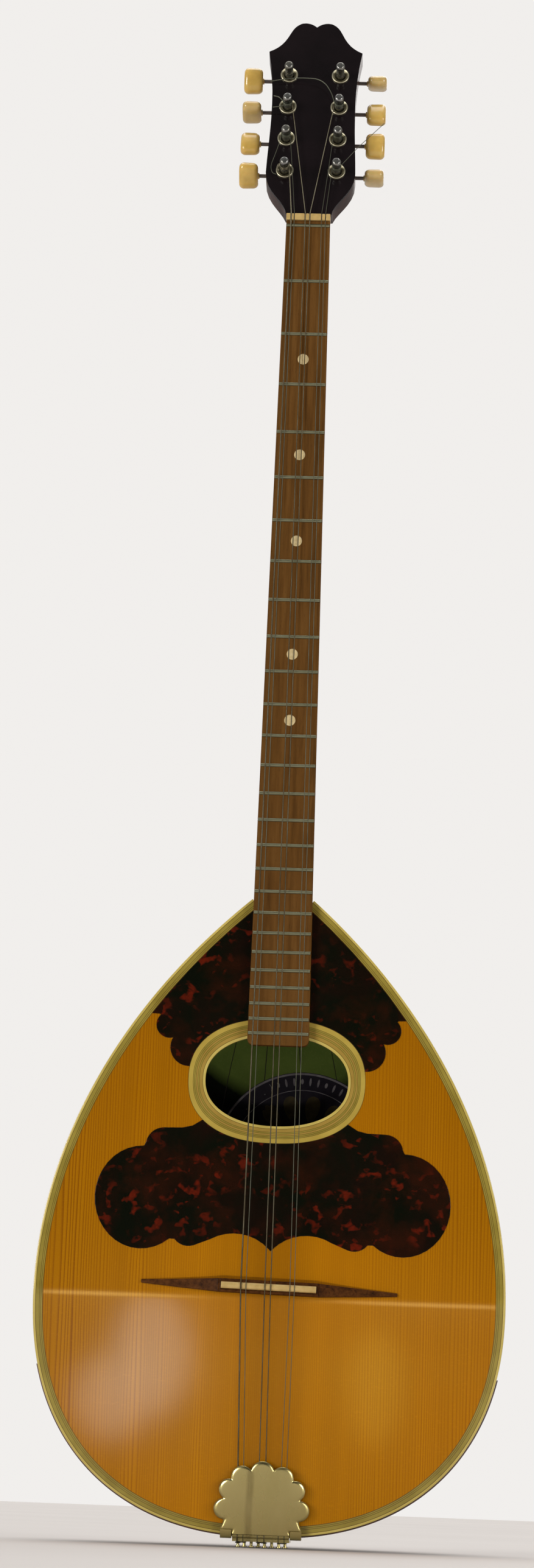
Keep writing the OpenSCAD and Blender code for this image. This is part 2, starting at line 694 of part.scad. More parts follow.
module strings() {
    color([0.62, 0.62, 0.56]) for (s = STRINGS) {
        route = string_route(s);
        last = len(route) - 1;
        loft([for (i = [0:last]) let (
            t = unit(unit(route[min(i + 1, last)] - route[i == last ? i - 1 : i])
                + unit(route[i == 0 ? 1 : i] - route[max(i - 1, 0)])),
            u = unit([1, 0, 0] - t[0] * t), v = cross(t, u))
            [for (j = [0:7]) route[i] + s[5] * (cos(45 * j) * u + sin(45 * j) * v)]]);
    }
}

soundboard();
bowl_ribs();
end_clasp();
neck();
neck_block();
tail_block();
top_braces();
rim_lining();
edge_binding();
rosette();
upper_guard();
lower_guard();
fretboard();
frets();
fret_dots();
nut();
headstock();
headstock_veneer();
bridge_base();
bridge_saddle();
tailpiece_base();
tailpiece_pin();
tailpiece_screws();
tailpiece_cover();
strings();
tuner_plates();
tuner_screws();
post_bushings();
for (side = SIDES) for (row = ROWS) {
    tuner_button(side, row);
    worm_shaft(side, row);
    string_post(side, row);
    worm_gear(side, row);
}
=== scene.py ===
"""Looks of a long-necked bowl-back mandolin: woods, shell guards, wound strings, tuners, tailpiece.

Lengths are in millimetres in the row frame until a mesh is made: +Z runs up the neck, the
soundboard faces -Y, and the origin lies on the soundboard's centre line, level with the tail edge.
"""

import json
from math import acos, copysign, cos, pi, radians, sin, sqrt, tan

import bmesh
import bpy
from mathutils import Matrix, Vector

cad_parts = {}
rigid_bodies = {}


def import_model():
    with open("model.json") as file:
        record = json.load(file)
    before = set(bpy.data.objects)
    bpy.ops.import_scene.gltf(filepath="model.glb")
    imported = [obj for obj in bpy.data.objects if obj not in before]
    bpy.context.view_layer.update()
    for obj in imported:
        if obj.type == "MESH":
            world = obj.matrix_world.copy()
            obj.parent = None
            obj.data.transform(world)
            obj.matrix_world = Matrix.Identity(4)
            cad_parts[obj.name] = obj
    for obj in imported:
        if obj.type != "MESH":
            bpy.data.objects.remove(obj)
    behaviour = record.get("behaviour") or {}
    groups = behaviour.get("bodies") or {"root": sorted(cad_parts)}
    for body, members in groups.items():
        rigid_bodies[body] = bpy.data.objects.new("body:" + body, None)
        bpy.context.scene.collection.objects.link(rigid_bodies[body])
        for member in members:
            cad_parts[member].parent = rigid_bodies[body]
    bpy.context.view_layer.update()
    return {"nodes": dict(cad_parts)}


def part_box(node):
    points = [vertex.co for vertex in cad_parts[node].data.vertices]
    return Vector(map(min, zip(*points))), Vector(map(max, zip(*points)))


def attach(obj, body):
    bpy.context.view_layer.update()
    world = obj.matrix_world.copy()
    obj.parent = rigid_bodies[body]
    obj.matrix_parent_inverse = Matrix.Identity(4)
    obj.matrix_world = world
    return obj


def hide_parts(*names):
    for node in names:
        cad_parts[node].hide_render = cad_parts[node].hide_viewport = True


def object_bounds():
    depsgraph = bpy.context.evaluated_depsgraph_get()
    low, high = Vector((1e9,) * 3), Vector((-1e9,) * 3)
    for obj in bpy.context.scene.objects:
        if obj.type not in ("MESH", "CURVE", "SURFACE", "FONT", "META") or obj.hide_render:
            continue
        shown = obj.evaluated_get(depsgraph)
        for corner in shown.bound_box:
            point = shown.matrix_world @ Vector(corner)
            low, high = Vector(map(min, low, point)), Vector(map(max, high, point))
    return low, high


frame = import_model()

MM = 0.001
NODES = frame["nodes"]
SIDES = {"l": -1, "r": 1}
ROWS = (1, 2, 3, 4)

# ---- Sizes, as the CAD has them ----

TOP_T = 2.6
BODY_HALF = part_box("edge_binding")[1].x / MM
BODY_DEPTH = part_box("bowl_ribs")[1].y / MM - TOP_T
TAIL_LEN = 140
UPPER_LEN = 243
JOINT_HALF = 19
TAIL_POWER = 2.3
CANT = tan(radians(6))
RIB_COUNT = 13
RIB_T = 2.2
BINDING_W = BODY_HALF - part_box("soundboard")[1].x / MM
HOLE_Z = 271
HOLE_RX, HOLE_RZ = 43.5, 27.6
RING_W = 10.5
BOARD_T = 6
ZERO_Z = 820
NUT_HIGH = ZERO_Z + 7.5
SADDLE_Z, SADDLE_H = 146, 11.5
HEAD_Y, HEAD_Z = -4, ZERO_Z + 8
HEAD_TILT = radians(12)
POST_X, FIRST_POST, POST_PITCH = 16.7, 33.2, 24.7
WAIST_R, HOLE_H = 2.5, 6.5
WORM_Y, MESH_DIST = 18.4, 8
BUTTON_X, BUTTON_W, BUTTON_TALL, BUTTON_THICK = 34.6, 12.4, 17.6, 9
HINGE_Y, HINGE_Z, HINGE_R = 11.8, 0.6, 1.9
BASE_Z = -3.1
COVER_LEAN = radians(8.25)
COVER_FRONT = -4.8
KNUCKLE_IN, KNUCKLE_OUT = 17.4, 24.2

# Finer than the CAD: half the height of the rounded crease, and the cover plate's thickness
CREASE_SOFT = 2.8
COVER_PLATE = 0.7

# ---- Small functions ----


def spow(v, power):
    return copysign(abs(v) ** power, v)


def lerp(a, b, t):
    return a + (b - a) * t


def ease(t):
    t = min(1, max(0, t))
    return t * t * (3 - 2 * t)


def bezier(p, s):
    q = 1 - s
    return p[0] * q**3 + p[1] * 3 * s * q * q + p[2] * 3 * s * s * q + p[3] * s**3


def angles(count, first=0.0):
    """Evenly spread directions round a full turn, in radians."""
    return [2 * pi * (i + first) / count for i in range(count)]


def circle(radius, count=64):
    return [(radius * cos(a), radius * sin(a)) for a in angles(count)]


def smooth_path(points, steps):
    """Points on a Catmull-Rom curve through the given ones."""
    pts = [Vector(p) for p in points]
    pts = [2 * pts[0] - pts[1], *pts, 2 * pts[-1] - pts[-2]]
    out = []
    for a, b, c, d in zip(pts, pts[1:], pts[2:], pts[3:]):
        for i in range(steps):
            t = i / steps
            out.append(0.5 * ((2 * b) + (c - a) * t + (2 * a - 5 * b + 4 * c - d) * t**2
                              + (3 * b - a - 3 * c + d) * t**3))
    return [*out, pts[-2]]


def head_point(x, along, high):
    """A point given by its place on the headstock's face and its height above it."""
    c, s = cos(HEAD_TILT), sin(HEAD_TILT)
    return Vector((x, HEAD_Y - high * c + along * s, HEAD_Z + high * s + along * c))


def post_along(row):
    return FIRST_POST + (4 - row) * POST_PITCH


# ---- Mesh helpers ----


def skin(rings, loop=False, caps=True):
    """Points and faces of the surface through rings of equal length."""
    n = len(rings[0])
    points = [p for ring in rings for p in ring]
    faces = []
    for j in range(len(rings) if loop else len(rings) - 1):
        a, b = j * n, (j + 1) % len(rings) * n
        for m in range(n):
            o = (m + 1) % n
            faces.append((a + m, a + o, b + o, b + m))
    if caps and not loop:
        last = len(points) - n
        for m in range(n // 2 - 1):
            faces.append((m + 1, m, n - 1 - m, n - 2 - m))
            faces.append((last + m, last + m + 1, last + n - 2 - m, last + n - 1 - m))
    return points, faces


def show(name, data):
    made = bpy.data.objects.new(name, data)
    bpy.context.scene.collection.objects.link(made)
    return made


def piece(name, points, faces, looks, body="instrument", replaces=(), slot=None, part=None,
          face_looks=None, sharp=35):
    """A mesh piece that rides on a body, in millimetres. A part is a CAD node that the piece replaces."""
    if part:
        replaces, slot = [part], part
    mesh = bpy.data.meshes.new(name)
    mesh.from_pydata([Vector(p) * MM for p in points], [], faces)
    for look in looks if isinstance(looks, (list, tuple)) else [looks]:
        mesh.materials.append(look)
    if face_looks:
        mesh.polygons.foreach_set("material_index", face_looks)
    bm = bmesh.new()
    bm.from_mesh(mesh)
    bmesh.ops.recalc_face_normals(bm, faces=bm.faces)
    bm.to_mesh(mesh)
    bm.free()
    mesh.polygons.foreach_set("use_smooth", [True] * len(mesh.polygons))
    mesh.set_sharp_from_angle(angle=radians(sharp))
    made = show(name, mesh)
    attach(made, body)
    if replaces:
        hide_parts(*replaces)
    return made


def frames_along(path):
    """A point, a tangent and two cross directions at each point, without twist."""
    path = [Vector(p) for p in path]
    u = None
    for i, p in enumerate(path):
        t = (path[min(i + 1, len(path) - 1)] - path[max(i - 1, 0)]).normalized()
        if u is None:
            u = t.orthogonal().normalized()
        u = (u - t * u.dot(t)).normalized()
        yield p, t, u, t.cross(u)


def tube(path, radius, sides=10):
    """Points and faces of a wire along a path, with rounded ends: (along, wide) in radii."""
    rings = []
    steps = list(frames_along(path))
    for i, (p, t, u, v) in enumerate(steps):
        ends = [(0, 1)]
        if i == 0:
            ends = [(-0.95, 0.3), (-0.7, 0.71), (0, 1)]
        elif i == len(steps) - 1:
            ends = [(0, 1), (0.7, 0.71), (0.95, 0.3)]
        for along, wide in ends:
            rings.append([p + t * along * radius + (u * c + v * s) * wide * radius
                          for c, s in circle(1, sides)])
    return skin(rings)


def join(*parts):
    """One list of points and one of faces from several."""
    points, faces = [], []
    for more_points, more_faces in parts:
        start = len(points)
        points += more_points
        faces += [tuple(start + i for i in f) for f in more_faces]
    return points, faces


def dress(node, look, bevel=0.0, angle=38):
    """Gives a CAD node its material, smooth shading and softened edges."""
    shown = NODES[node]
    mesh = shown.data
    if "custom_normal" in mesh.attributes:
        mesh.attributes.remove(mesh.attributes["custom_normal"])
    mesh.materials.clear()
    mesh.materials.append(look)
    mesh.polygons.foreach_set("use_smooth", [True] * len(mesh.polygons))
    weld = shown.modifiers.new("weld", "WELD")
    weld.merge_threshold = 3e-6
    if bevel:
        soft = shown.modifiers.new("soft_edges", "BEVEL")
        soft.width = bevel * MM
        soft.segments = 3
        soft.limit_method = "ANGLE"
        soft.angle_limit = radians(angle)
        soft.use_clamp_overlap = True
    split = shown.modifiers.new("split", "EDGE_SPLIT")
    split.split_angle = radians(angle)
    even = shown.modifiers.new("even_normals", "WEIGHTED_NORMAL")
    even.keep_sharp = True


# ---- Materials ----


class Graph:
    """A node tree. Its methods add nodes and give back their output sockets."""

    def __init__(self, tree):
        self.tree = tree

    def feed(self, socket, value):
        if isinstance(value, bpy.types.NodeSocket):
            self.tree.links.new(value, socket)
        elif isinstance(value, (tuple, list)) and socket.type == "RGBA":
            socket.default_value = (*value[:3], 1)
        else:
            socket.default_value = value

    def node(self, kind, inputs=(), **settings):
        made = self.tree.nodes.new("ShaderNode" + kind)
        for key, value in settings.items():
            setattr(made, key, value)
        for key, value in dict(inputs).items():
            self.feed(made.inputs[key], value)
        return made

    def calc(self, operation, *values):
        return self.node("Math", enumerate(values), operation=operation).outputs[0]

    def spread(self, value, low, high, out_low=0.0, out_high=1.0, **settings):
        return self.node("MapRange", {"Value": value, "From Min": low, "From Max": high,
                                      "To Min": out_low, "To Max": out_high}, **settings).outputs["Result"]


class Look(Graph):
    """A procedural material."""

    def __init__(self, name, **values):
        self.mat = bpy.data.materials.new(name)
        self.mat.use_nodes = True
        super().__init__(self.mat.node_tree)
        self.paint(**values)

    def place(self, scale=1, turn=(0, 0, 0), shift=(0, 0, 0), attribute=None):
        """The point in metres, scaled, from the object or from a stored attribute."""
        if attribute:
            source = self.node("Attribute", attribute_name=attribute).outputs["Vector"]
        else:
            source = self.node("TexCoord").outputs["Object"]
        if isinstance(scale, (int, float)):
            scale = (scale,) * 3
        return self.node("Mapping", {"Vector": source, "Scale": scale, "Rotation": turn,
                                     "Location": shift}).outputs["Vector"]

    def spot(self):
        """The object's own coordinates, one by one."""
        return self.node("SeparateXYZ", {"Vector": self.place()}).outputs

    def noise(self, where, scale=1.0, detail=3.0, rough=0.5, warp=0.0):
        return self.node("TexNoise", {"Vector": where, "Scale": scale, "Detail": detail,
                                      "Roughness": rough, "Distortion": warp}).outputs["Fac"]

    def cloud(self, scale, detail=3.0, rough=0.5):
        """Noise through the object's own space."""
        return self.noise(self.place(scale), 1, detail, rough)

    def ramp(self, fac, *stops):
        made = self.node("ValToRGB", {"Fac": fac})
        elements = made.color_ramp.elements
        while len(elements) < len(stops):
            elements.new(0.5)
        for element, (spot, colour) in zip(elements, stops):
            element.position = spot
            element.color = (colour,) * 3 + (1,) if isinstance(colour, (int, float)) else (*colour, 1)
        return made.outputs["Color"]

    def mix(self, fac, a, b, mode="MIX"):
        return self.node("Mix", {0: fac, 6: a, 7: b}, data_type="RGBA", blend_type=mode).outputs[2]

    def bump(self, height, depth, under=None):
        """Depth is in millimetres."""
        made = self.node("Bump", {"Height": height, "Distance": depth * MM, "Strength": 1.0})
        if under is not None:
            self.feed(made.inputs["Normal"], under)
        return made.outputs["Normal"]

    def paint(self, **sockets):
        """Sets or links the shader's own sockets and gives the material back."""
        inputs = self.tree.nodes["Principled BSDF"].inputs
        names = {key.lower().replace(" ", "_"): key for key in inputs.keys()}
        for key, value in sockets.items():
            self.feed(inputs[names[key]], value)
        return self.mat


def make_spruce():
    """Amber-lacquered spruce: fine dark lines of late wood along Z, with slow drift and silk."""
    look = Look("spruce_lacquered", specular_ior_level=0.02, coat_weight=0.14, coat_roughness=0.14)
    x = look.spot()["X"]
    drift = look.cloud((28, 0, 1.1), 3)
    wander = look.cloud((170, 0, 2.5), 2)
    side = look.calc("ABSOLUTE", x)
    count = look.calc("MULTIPLY", x, look.calc("MULTIPLY_ADD", side, -1600.0, 880.0))
    turn = look.calc("ADD", count, look.calc("MULTIPLY_ADD", drift, 9.0,
                                             look.calc("MULTIPLY", wander, 1.6)))
    ring = look.calc("FRACT", turn)
    line = look.ramp(ring, (0.0, 0.0), (0.5, 0.08), (0.88, 1.0), (1.0, 0.0))
    tone = look.cloud((60, 0, 0.6), 3)
    plain = look.calc("MULTIPLY", look.spread(tone, 0.35, 0.65, 0.55, 1.0),
                      look.spread(side, 0.02, 0.11, 0.55, 1.15))
    depth = look.calc("MULTIPLY", line, plain)
    silk = look.cloud((500, 500, 1500), 2)
    blotch = look.cloud((9, 9, 4), 3)
    colour = look.ramp(tone, (0.3, (0.184, 0.068, 0.0003)), (0.7, (0.229, 0.088, 0.0006)))
    colour = look.mix(depth, colour, (0.118, 0.034, 0.0002))
    colour = look.mix(look.spread(silk, 0.55, 0.8, 0.0, 0.2), colour, (0.34, 0.135, 0.004))
    colour = look.mix(look.spread(blotch, 0.35, 0.75, 0.0, 0.35), colour, (0.28, 0.092, 0.0005))
    # Painted shade: a darker band down the middle of the board, centred 4 mm right of the centre line
    middle = look.spread(look.calc("ABSOLUTE", look.calc("ADD", x, -0.004)), 0.010, 0.028, 0.45, 0.0)
    colour = look.mix(middle, colour, (0.72, 0.70, 0.6), "MULTIPLY")
    wavy = look.cloud((16, 16, 7), 1)
    worn = look.cloud(60, 4)
    return look.paint(base_color=colour, coat_normal=look.bump(wavy, 0.04, look.bump(line, 0.002)),
                      normal=look.bump(line, 0.006), roughness=look.spread(worn, 0.3, 0.7, 0.38, 0.52))


def make_grained(name, dark, mid, light, across=300, along=9, pores=0.3, attribute=None, **gloss):
    """Brown wood with long streaks along Z, or along the second part of a stored attribute."""
    look = Look(name, **gloss)

    def where(wide, long):
        scale = (wide, long, 1) if attribute else (wide, wide, long)
        return look.place(scale, attribute=attribute)

    streaks = look.noise(where(across, along), 1, 4, 0.6, 0.3)
    broad = look.noise(where(across / 9, along / 2), 1, 3, 0.5, 0.6)
    pore = look.noise(where(across * 5, along * 12), 1, 2)
    colour = look.ramp(look.calc("MULTIPLY_ADD", streaks, 0.6, look.calc("MULTIPLY", broad, 0.4)),
                       (0.34, dark), (0.5, mid), (0.68, light))
    dots = look.spread(pore, 0.62, 0.72)
    colour = look.mix(look.calc("MULTIPLY", dots, pores), colour, dark)
    return look, colour, dots


def make_wood(name, dark, mid, light, bump=0.02, **options):
    look, colour, dots = make_grained(name, dark, mid, light, **options)
    return look.paint(base_color=colour, normal=look.bump(dots, -bump))


def make_stave_wood():
    look, colour, dots = make_grained(
        "stave_wood", (0.05, 0.014, 0.006), (0.15, 0.045, 0.016), (0.25, 0.085, 0.030), across=260,
        along=10, attribute="grain", roughness=0.35, coat_weight=0.8, coat_roughness=0.1)
    parts = look.node("SeparateXYZ", {"Vector": look.node(
        "Attribute", attribute_name="grain").outputs["Vector"]})
    tone = look.node("TexWhiteNoise", {"W": parts.outputs["Z"]}, noise_dimensions="1D").outputs["Value"]
    colour = look.mix(look.spread(tone, 0, 1, 0.0, 0.85), colour, (0.5, 0.42, 0.36), "MULTIPLY")
    wavy = look.cloud((14, 14, 8), 1)
    return look.paint(base_color=colour, normal=look.bump(dots, -0.02), coat_normal=look.bump(wavy, 0.1))


def make_shell():
    """Celluloid shell: black and brown clouds with clusters of dark red blots."""
    look = Look("shell_guard", specular_ior_level=0.02, coat_weight=0.6, coat_roughness=0.12)
    cloud = look.noise(look.place(), 30, 4, 0.6, 0.4)
    brown = look.noise(look.place(shift=(1.3, 0.7, 0.4)), 42, 4, 0.6, 0.3)
    group = look.noise(look.place(shift=(0.2, 0.9, 0.33)), 30, 2, 0.5)
    blot = look.noise(look.place((1, 1, 1.2), shift=(0.31, 0.2, 0.13)), 135, 2, 0.5, 0.3)
    core = look.noise(look.place(shift=(0.7, 0.1, 0.5)), 420, 2, 0.5)
    red = look.calc("MULTIPLY", look.spread(blot, 0.555, 0.65), look.spread(group, 0.42, 0.58))
    red = look.calc("MULTIPLY", red, look.spread(core, 0.3, 0.6, 0.6, 1.0))
    colour = look.mix(look.spread(cloud, 0.4, 0.62), (0.0022, 0.0032, 0.0010), (0.0065, 0.0026, 0.0010))
    colour = look.mix(look.spread(brown, 0.48, 0.7, 0.0, 0.85), colour, (0.020, 0.0045, 0.0012))
    colour = look.mix(red, colour, (0.095, 0.008, 0.002))
    smear = look.cloud(25, 3)
    return look.paint(base_color=colour, roughness=look.spread(smear, 0.35, 0.7, 0.26, 0.38))


def make_metal(name, colour, tarnish, rough=0.22, amount=0.4, lines=0.004, turn=(0, 0, 0)):
    """Plated or drawn metal with fine lines and tarnished patches."""
    look = Look(name, metallic=1.0)
    patch = look.cloud(90, 5, 0.6)
    spots = look.cloud(700, 3)
    dull = look.spread(patch, 0.45, 0.7, 0.0, amount)
    shade = look.mix(dull, colour, tarnish)
    shade = look.mix(look.spread(spots, 0.62, 0.75, 0.0, amount * 0.6), shade, tarnish)
    fine = look.spread(look.noise(look.place((2500, 2500, 60), turn), 1, 2), 0.25, 0.75)
    uneven = look.calc("ADD", look.spread(patch, 0.3, 0.7, rough, rough + 0.14),
                       look.calc("MULTIPLY", fine, 0.07))
    return look.paint(base_color=shade, roughness=uneven, normal=look.bump(fine, lines))


def make_plain(name, colour, second, scale=60, bump=0.01, **gloss):
    """A moulded or bone-like surface with slow colour change and fine unevenness."""
    look = Look(name, **gloss)
    cloud = look.cloud(scale, 4, 0.55)
    fine = look.cloud(scale * 22, 2)
    shade = look.mix(look.spread(cloud, 0.35, 0.68), colour, second)
    return look.paint(base_color=shade, normal=look.bump(fine, bump))


INLAY = {"roughness": 0.4, "specular_ior_level": 0.05, "coat_weight": 0.7, "coat_roughness": 0.15}
CAST = {"roughness": 0.3, "specular_ior_level": 0.2, "coat_weight": 0.8, "coat_roughness": 0.12,
        "subsurface_weight": 0.25, "subsurface_scale": 0.003}
# Buttons drawn in a paler copy of the button material: a painted highlight where light glares on them
HIGHLIGHT_PAINTED_BUTTONS = ("r1", "r4", "l2")
LOOKS = {
    "spruce": make_spruce(),
    "stave": make_stave_wood(),
    "shell": make_shell(),
    "clasp": make_wood("clasp_wood", (0.03, 0.010, 0.004), (0.08, 0.024, 0.009), (0.13, 0.045, 0.017),
                       across=160, along=160, roughness=0.35, coat_weight=0.8, coat_roughness=0.1),
    "neck": make_wood("neck_wood", (0.045, 0.010, 0.006), (0.12, 0.028, 0.013), (0.19, 0.055, 0.024),
                      across=240, along=7, roughness=0.38, coat_weight=0.6, coat_roughness=0.16),
    "fretboard": make_wood("fretboard_wood", (0.065, 0.028, 0.006), (0.108, 0.047, 0.010),
                           (0.140, 0.066, 0.016), across=330, along=22, pores=0.5, bump=0.05,
                           roughness=0.55, specular_ior_level=0.04),
    "bridge": make_wood("bridge_wood", (0.018, 0.006, 0.0015), (0.060, 0.020, 0.004),
                        (0.10, 0.036, 0.008), across=500, along=500, pores=0.5, roughness=0.5,
                        specular_ior_level=0.04, coat_weight=0.05, coat_roughness=0.3),
    "head_core": make_wood("headstock_wood", (0.010, 0.004, 0.003), (0.030, 0.009, 0.006),
                           (0.055, 0.018, 0.010), across=220, along=8, roughness=0.45,
                           specular_ior_level=0.04, coat_weight=0.3, coat_roughness=0.2),
    "raw": make_wood("raw_spruce", (0.40, 0.24, 0.11), (0.58, 0.38, 0.19), (0.70, 0.50, 0.28),
                     across=500, along=12, roughness=0.8),
    "cream": make_plain("cream_binding", (0.42, 0.31, 0.06), (0.34, 0.24, 0.04), 45, 0.01, **INLAY),
    "cream_bright": make_plain("cream_edge", (0.52, 0.41, 0.11), (0.43, 0.33, 0.075), 45, 0.01,
                               **INLAY),
    "olive": make_plain("olive_purfling", (0.29, 0.225, 0.040), (0.22, 0.165, 0.024), 60, 0.01, **INLAY),
    "tan": make_plain("tan_ring", (0.33, 0.22, 0.045), (0.28, 0.18, 0.032), 80, 0.01, **INLAY),
    "line": make_plain("dark_line", (0.10, 0.06, 0.010), (0.07, 0.038, 0.006), 80, 0.01, **INLAY),
    "black": make_plain("black_lacquer", (0.0045, 0.0030, 0.0035), (0.008, 0.005, 0.006), 30, 0.004,
                        roughness=0.35, specular_ior_level=0.02, coat_weight=0.4,
                        coat_roughness=0.12),
    "bone": make_plain("bone", (0.50, 0.36, 0.14), (0.40, 0.27, 0.09), 240, 0.02, roughness=0.35,
                       specular_ior_level=0.2,
                       coat_weight=0.3, coat_roughness=0.2, subsurface_weight=0.12,
                       subsurface_scale=0.002),
    "button": make_plain("aged_button", (0.64, 0.43, 0.11), (0.52, 0.34, 0.08), 130, 0.015, **CAST),
    # Paler copy of the button material, as painted highlight
    "button_painted_highlight": make_plain("pale_button", (0.56, 0.40, 0.15), (0.45, 0.32, 0.11), 130, 0.015, **CAST),
    "dot": make_plain("pearl_dot", (0.62, 0.50, 0.28), (0.50, 0.38, 0.18), 500, 0.01, roughness=0.25,
                      coat_weight=0.6, coat_roughness=0.12),
}


def make_wound():
    look = Look("wound_wire", metallic=1.0, roughness=0.34)
    turns = look.node("TexWave", {"Vector": look.place(), "Scale": 1100.0}, bands_direction="Z")
    patch = look.cloud(40, 4)
    colour = look.mix(look.spread(patch, 0.4, 0.7), (0.24, 0.22, 0.15), (0.14, 0.11, 0.06))
    colour = look.mix(look.spread(turns.outputs["Fac"], 0.0, 0.4), (0.03, 0.025, 0.016), colour)
    return look.paint(base_color=colour, normal=look.bump(turns.outputs["Fac"], 0.05))


def make_lining():
    """Green paper, with a painted shadow that darkens it towards the tail."""
    look = Look("green_lining", roughness=0.9, specular_ior_level=0.1)
    cloud = look.cloud(35, 4)
    fibre = look.cloud((900, 900, 500), 3)
    colour = look.mix(look.spread(cloud, 0.35, 0.7), (0.22, 0.31, 0.060), (0.16, 0.24, 0.045))
    colour = look.mix(look.spread(fibre, 0.55, 0.75, 0.0, 0.3), colour, (0.30, 0.38, 0.10))
    # Painted shadow of the soundhole's lower edge: near-black below an arc that rises towards the sides
    spot = look.spot()
    side = look.calc("MULTIPLY", spot["X"], spot["X"])
    high = look.calc("MULTIPLY_ADD", side, -7.5, spot["Z"])
    painted_shadow = look.spread(look.calc("MULTIPLY_ADD", cloud, 0.006, high), 0.272, 0.282)
    colour = look.mix(painted_shadow, (0.006, 0.008, 0.003), colour)
    return look.paint(base_color=colour, normal=look.bump(fibre, 0.08))


def make_cover_metal():
    """Worn brass under thin nickel, with a painted dark reflection as one streak down it."""
    look = Look("cover_plate", metallic=1.0)
    spot = look.spot()
    patch = look.cloud((60, 60, 30), 3, 0.5)
    cloud = look.cloud((160, 160, 30), 3)
    colour = look.mix(look.spread(patch, 0.35, 0.7, 0.0, 0.6), (0.54, 0.46, 0.20), (0.40, 0.33, 0.12))
    # Painted reflection: a dark streak down the plate, 6 mm left of its middle
    across = look.calc("MULTIPLY_ADD", cloud, 0.003, spot["X"])
    off = look.calc("ABSOLUTE", look.calc("ADD", across, 0.0060))
    painted_dark_reflection = look.calc("MULTIPLY", look.spread(off, 0.0010, 0.0026, 1.0, 0.0),
                       look.spread(patch, 0.3, 0.6, 0.5, 1.0))
    colour = look.mix(look.calc("MULTIPLY", painted_dark_reflection, 0.45), colour, (0.15, 0.11, 0.045))
    fine = look.cloud((2500, 2500, 60), 2)
    return look.paint(base_color=colour, normal=look.bump(fine, 0.003),
                      roughness=look.spread(patch, 0.3, 0.7, 0.2, 0.36))


LOOKS.update({"cover": make_cover_metal(), "wound": make_wound(), "lining": make_lining()})

# Name, colour, tarnish, roughness, share of tarnish
for key, name, *values in (
        ("nickel", "nickel_plate", (0.62, 0.60, 0.54), (0.30, 0.27, 0.19), 0.16, 0.45),
        ("gear", "gear_brass", (0.70, 0.50, 0.20), (0.32, 0.20, 0.07), 0.28, 0.5),
        ("post", "post_steel", (0.27, 0.27, 0.26), (0.13, 0.12, 0.07), 0.2, 0.6),
        ("bushing", "bushing_plate", (0.62, 0.58, 0.42), (0.30, 0.27, 0.15), 0.24, 0.4),
        # A darker copy of the bushing plate: painted shade on the bushings' dished faces
        ("bushing_dull", "bushing_face", (0.20, 0.18, 0.11), (0.11, 0.09, 0.045), 0.36, 0.6),
        ("dark_steel", "dark_steel", (0.13, 0.11, 0.10), (0.05, 0.035, 0.028), 0.34, 0.6),
        ("wire", "plain_wire", (0.115, 0.12, 0.09), (0.08, 0.078, 0.048), 0.45, 0.5)):
    LOOKS[key] = make_metal(name, *values)
LOOKS["fret_wire"] = make_metal("fret_wire", (0.25, 0.25, 0.16), (0.14, 0.14, 0.08), 0.3, 0.5,
                                turn=(0, pi / 2, 0))
# Name, two colours, unevenness in millimetres, roughness
for key, name, first, second, bump, rough in (
        ("print_dark", "label_ink", (0.016, 0.012, 0.024), (0.028, 0.020, 0.034), 0.01, 0.6),
        ("print_pale", "label_paper", (0.42, 0.39, 0.40), (0.26, 0.23, 0.25), 0.01, 0.7),
        ("print_gold", "label_gold", (0.14, 0.10, 0.035), (0.08, 0.06, 0.02), 0.01, 0.55),
        ("seam", "glue_seam", (0.020, 0.014, 0.008), (0.035, 0.024, 0.012), 0.02, 0.7)):
    LOOKS[key] = make_plain(name, first, second, 200, bump, roughness=rough)

# ---- Body surfaces ----

# Bezier handles of the upper body: how far they reach, and their slope where the neck joins
LOW_REACH, HIGH_REACH = 85, 70
JOINT_SLOPE, BACK_SLOPE = 1.15, 1.05
JOINT_DEEP = 36
UPPER_X = (BODY_HALF, BODY_HALF, JOINT_HALF + JOINT_SLOPE * HIGH_REACH, JOINT_HALF)
UPPER_Z = (0, LOW_REACH, UPPER_LEN - HIGH_REACH, UPPER_LEN)
UPPER_DEEP = (BODY_DEPTH, BODY_DEPTH, JOINT_DEEP + BACK_SLOPE * HIGH_REACH, JOINT_DEEP)
STAVE_WIDE = pi / RIB_COUNT


def top_y(z):
    """The soundboard's face: flat, then bent back below a softly rounded crease."""
    soft = CREASE_SOFT
    d = TAIL_LEN - z
    if d > soft:
        return d * CANT
    return 0 if d < -soft else CANT * (d + soft) ** 2 / (4 * soft)


def section(k):
    """Half width, depth and height at k: 0 at the neck joint, 1 at the crease, 2 at the tail."""
    if k < 1:
        s = 1 - k
        return bezier(UPPER_X, s), bezier(UPPER_DEEP, s), TAIL_LEN + bezier(UPPER_Z, s)
    a = radians(90 * (k - 1))
    half = BODY_HALF * max(cos(a), 0) ** (2 / TAIL_POWER)
    return half, BODY_DEPTH * half / BODY_HALF, TAIL_LEN - TAIL_LEN * sin(a) ** (2 / TAIL_POWER)


def bowl_at(th, k):
    half, deep, z = section(k)
    lift = max(0, TAIL_LEN - z) * CANT * (1 - deep / BODY_DEPTH * sin(th))
    return Vector((half * cos(th), TOP_T + lift + deep * sin(th), z))


def bowl_point(th, k, off=0.0):
    """A point off the bowl's outside; off is negative inwards."""
    point = bowl_at(th, k)
    if off:
        along = bowl_at(th, k + 0.01) - bowl_at(th, k - 0.01)
        out = along.cross(bowl_at(th + 0.008, k) - bowl_at(th - 0.008, k)).normalized()
        if out.dot(Vector((point.x, point.y * 0.5, 0))) < 0:
            out.negate()
        point = point + out * off
    return point


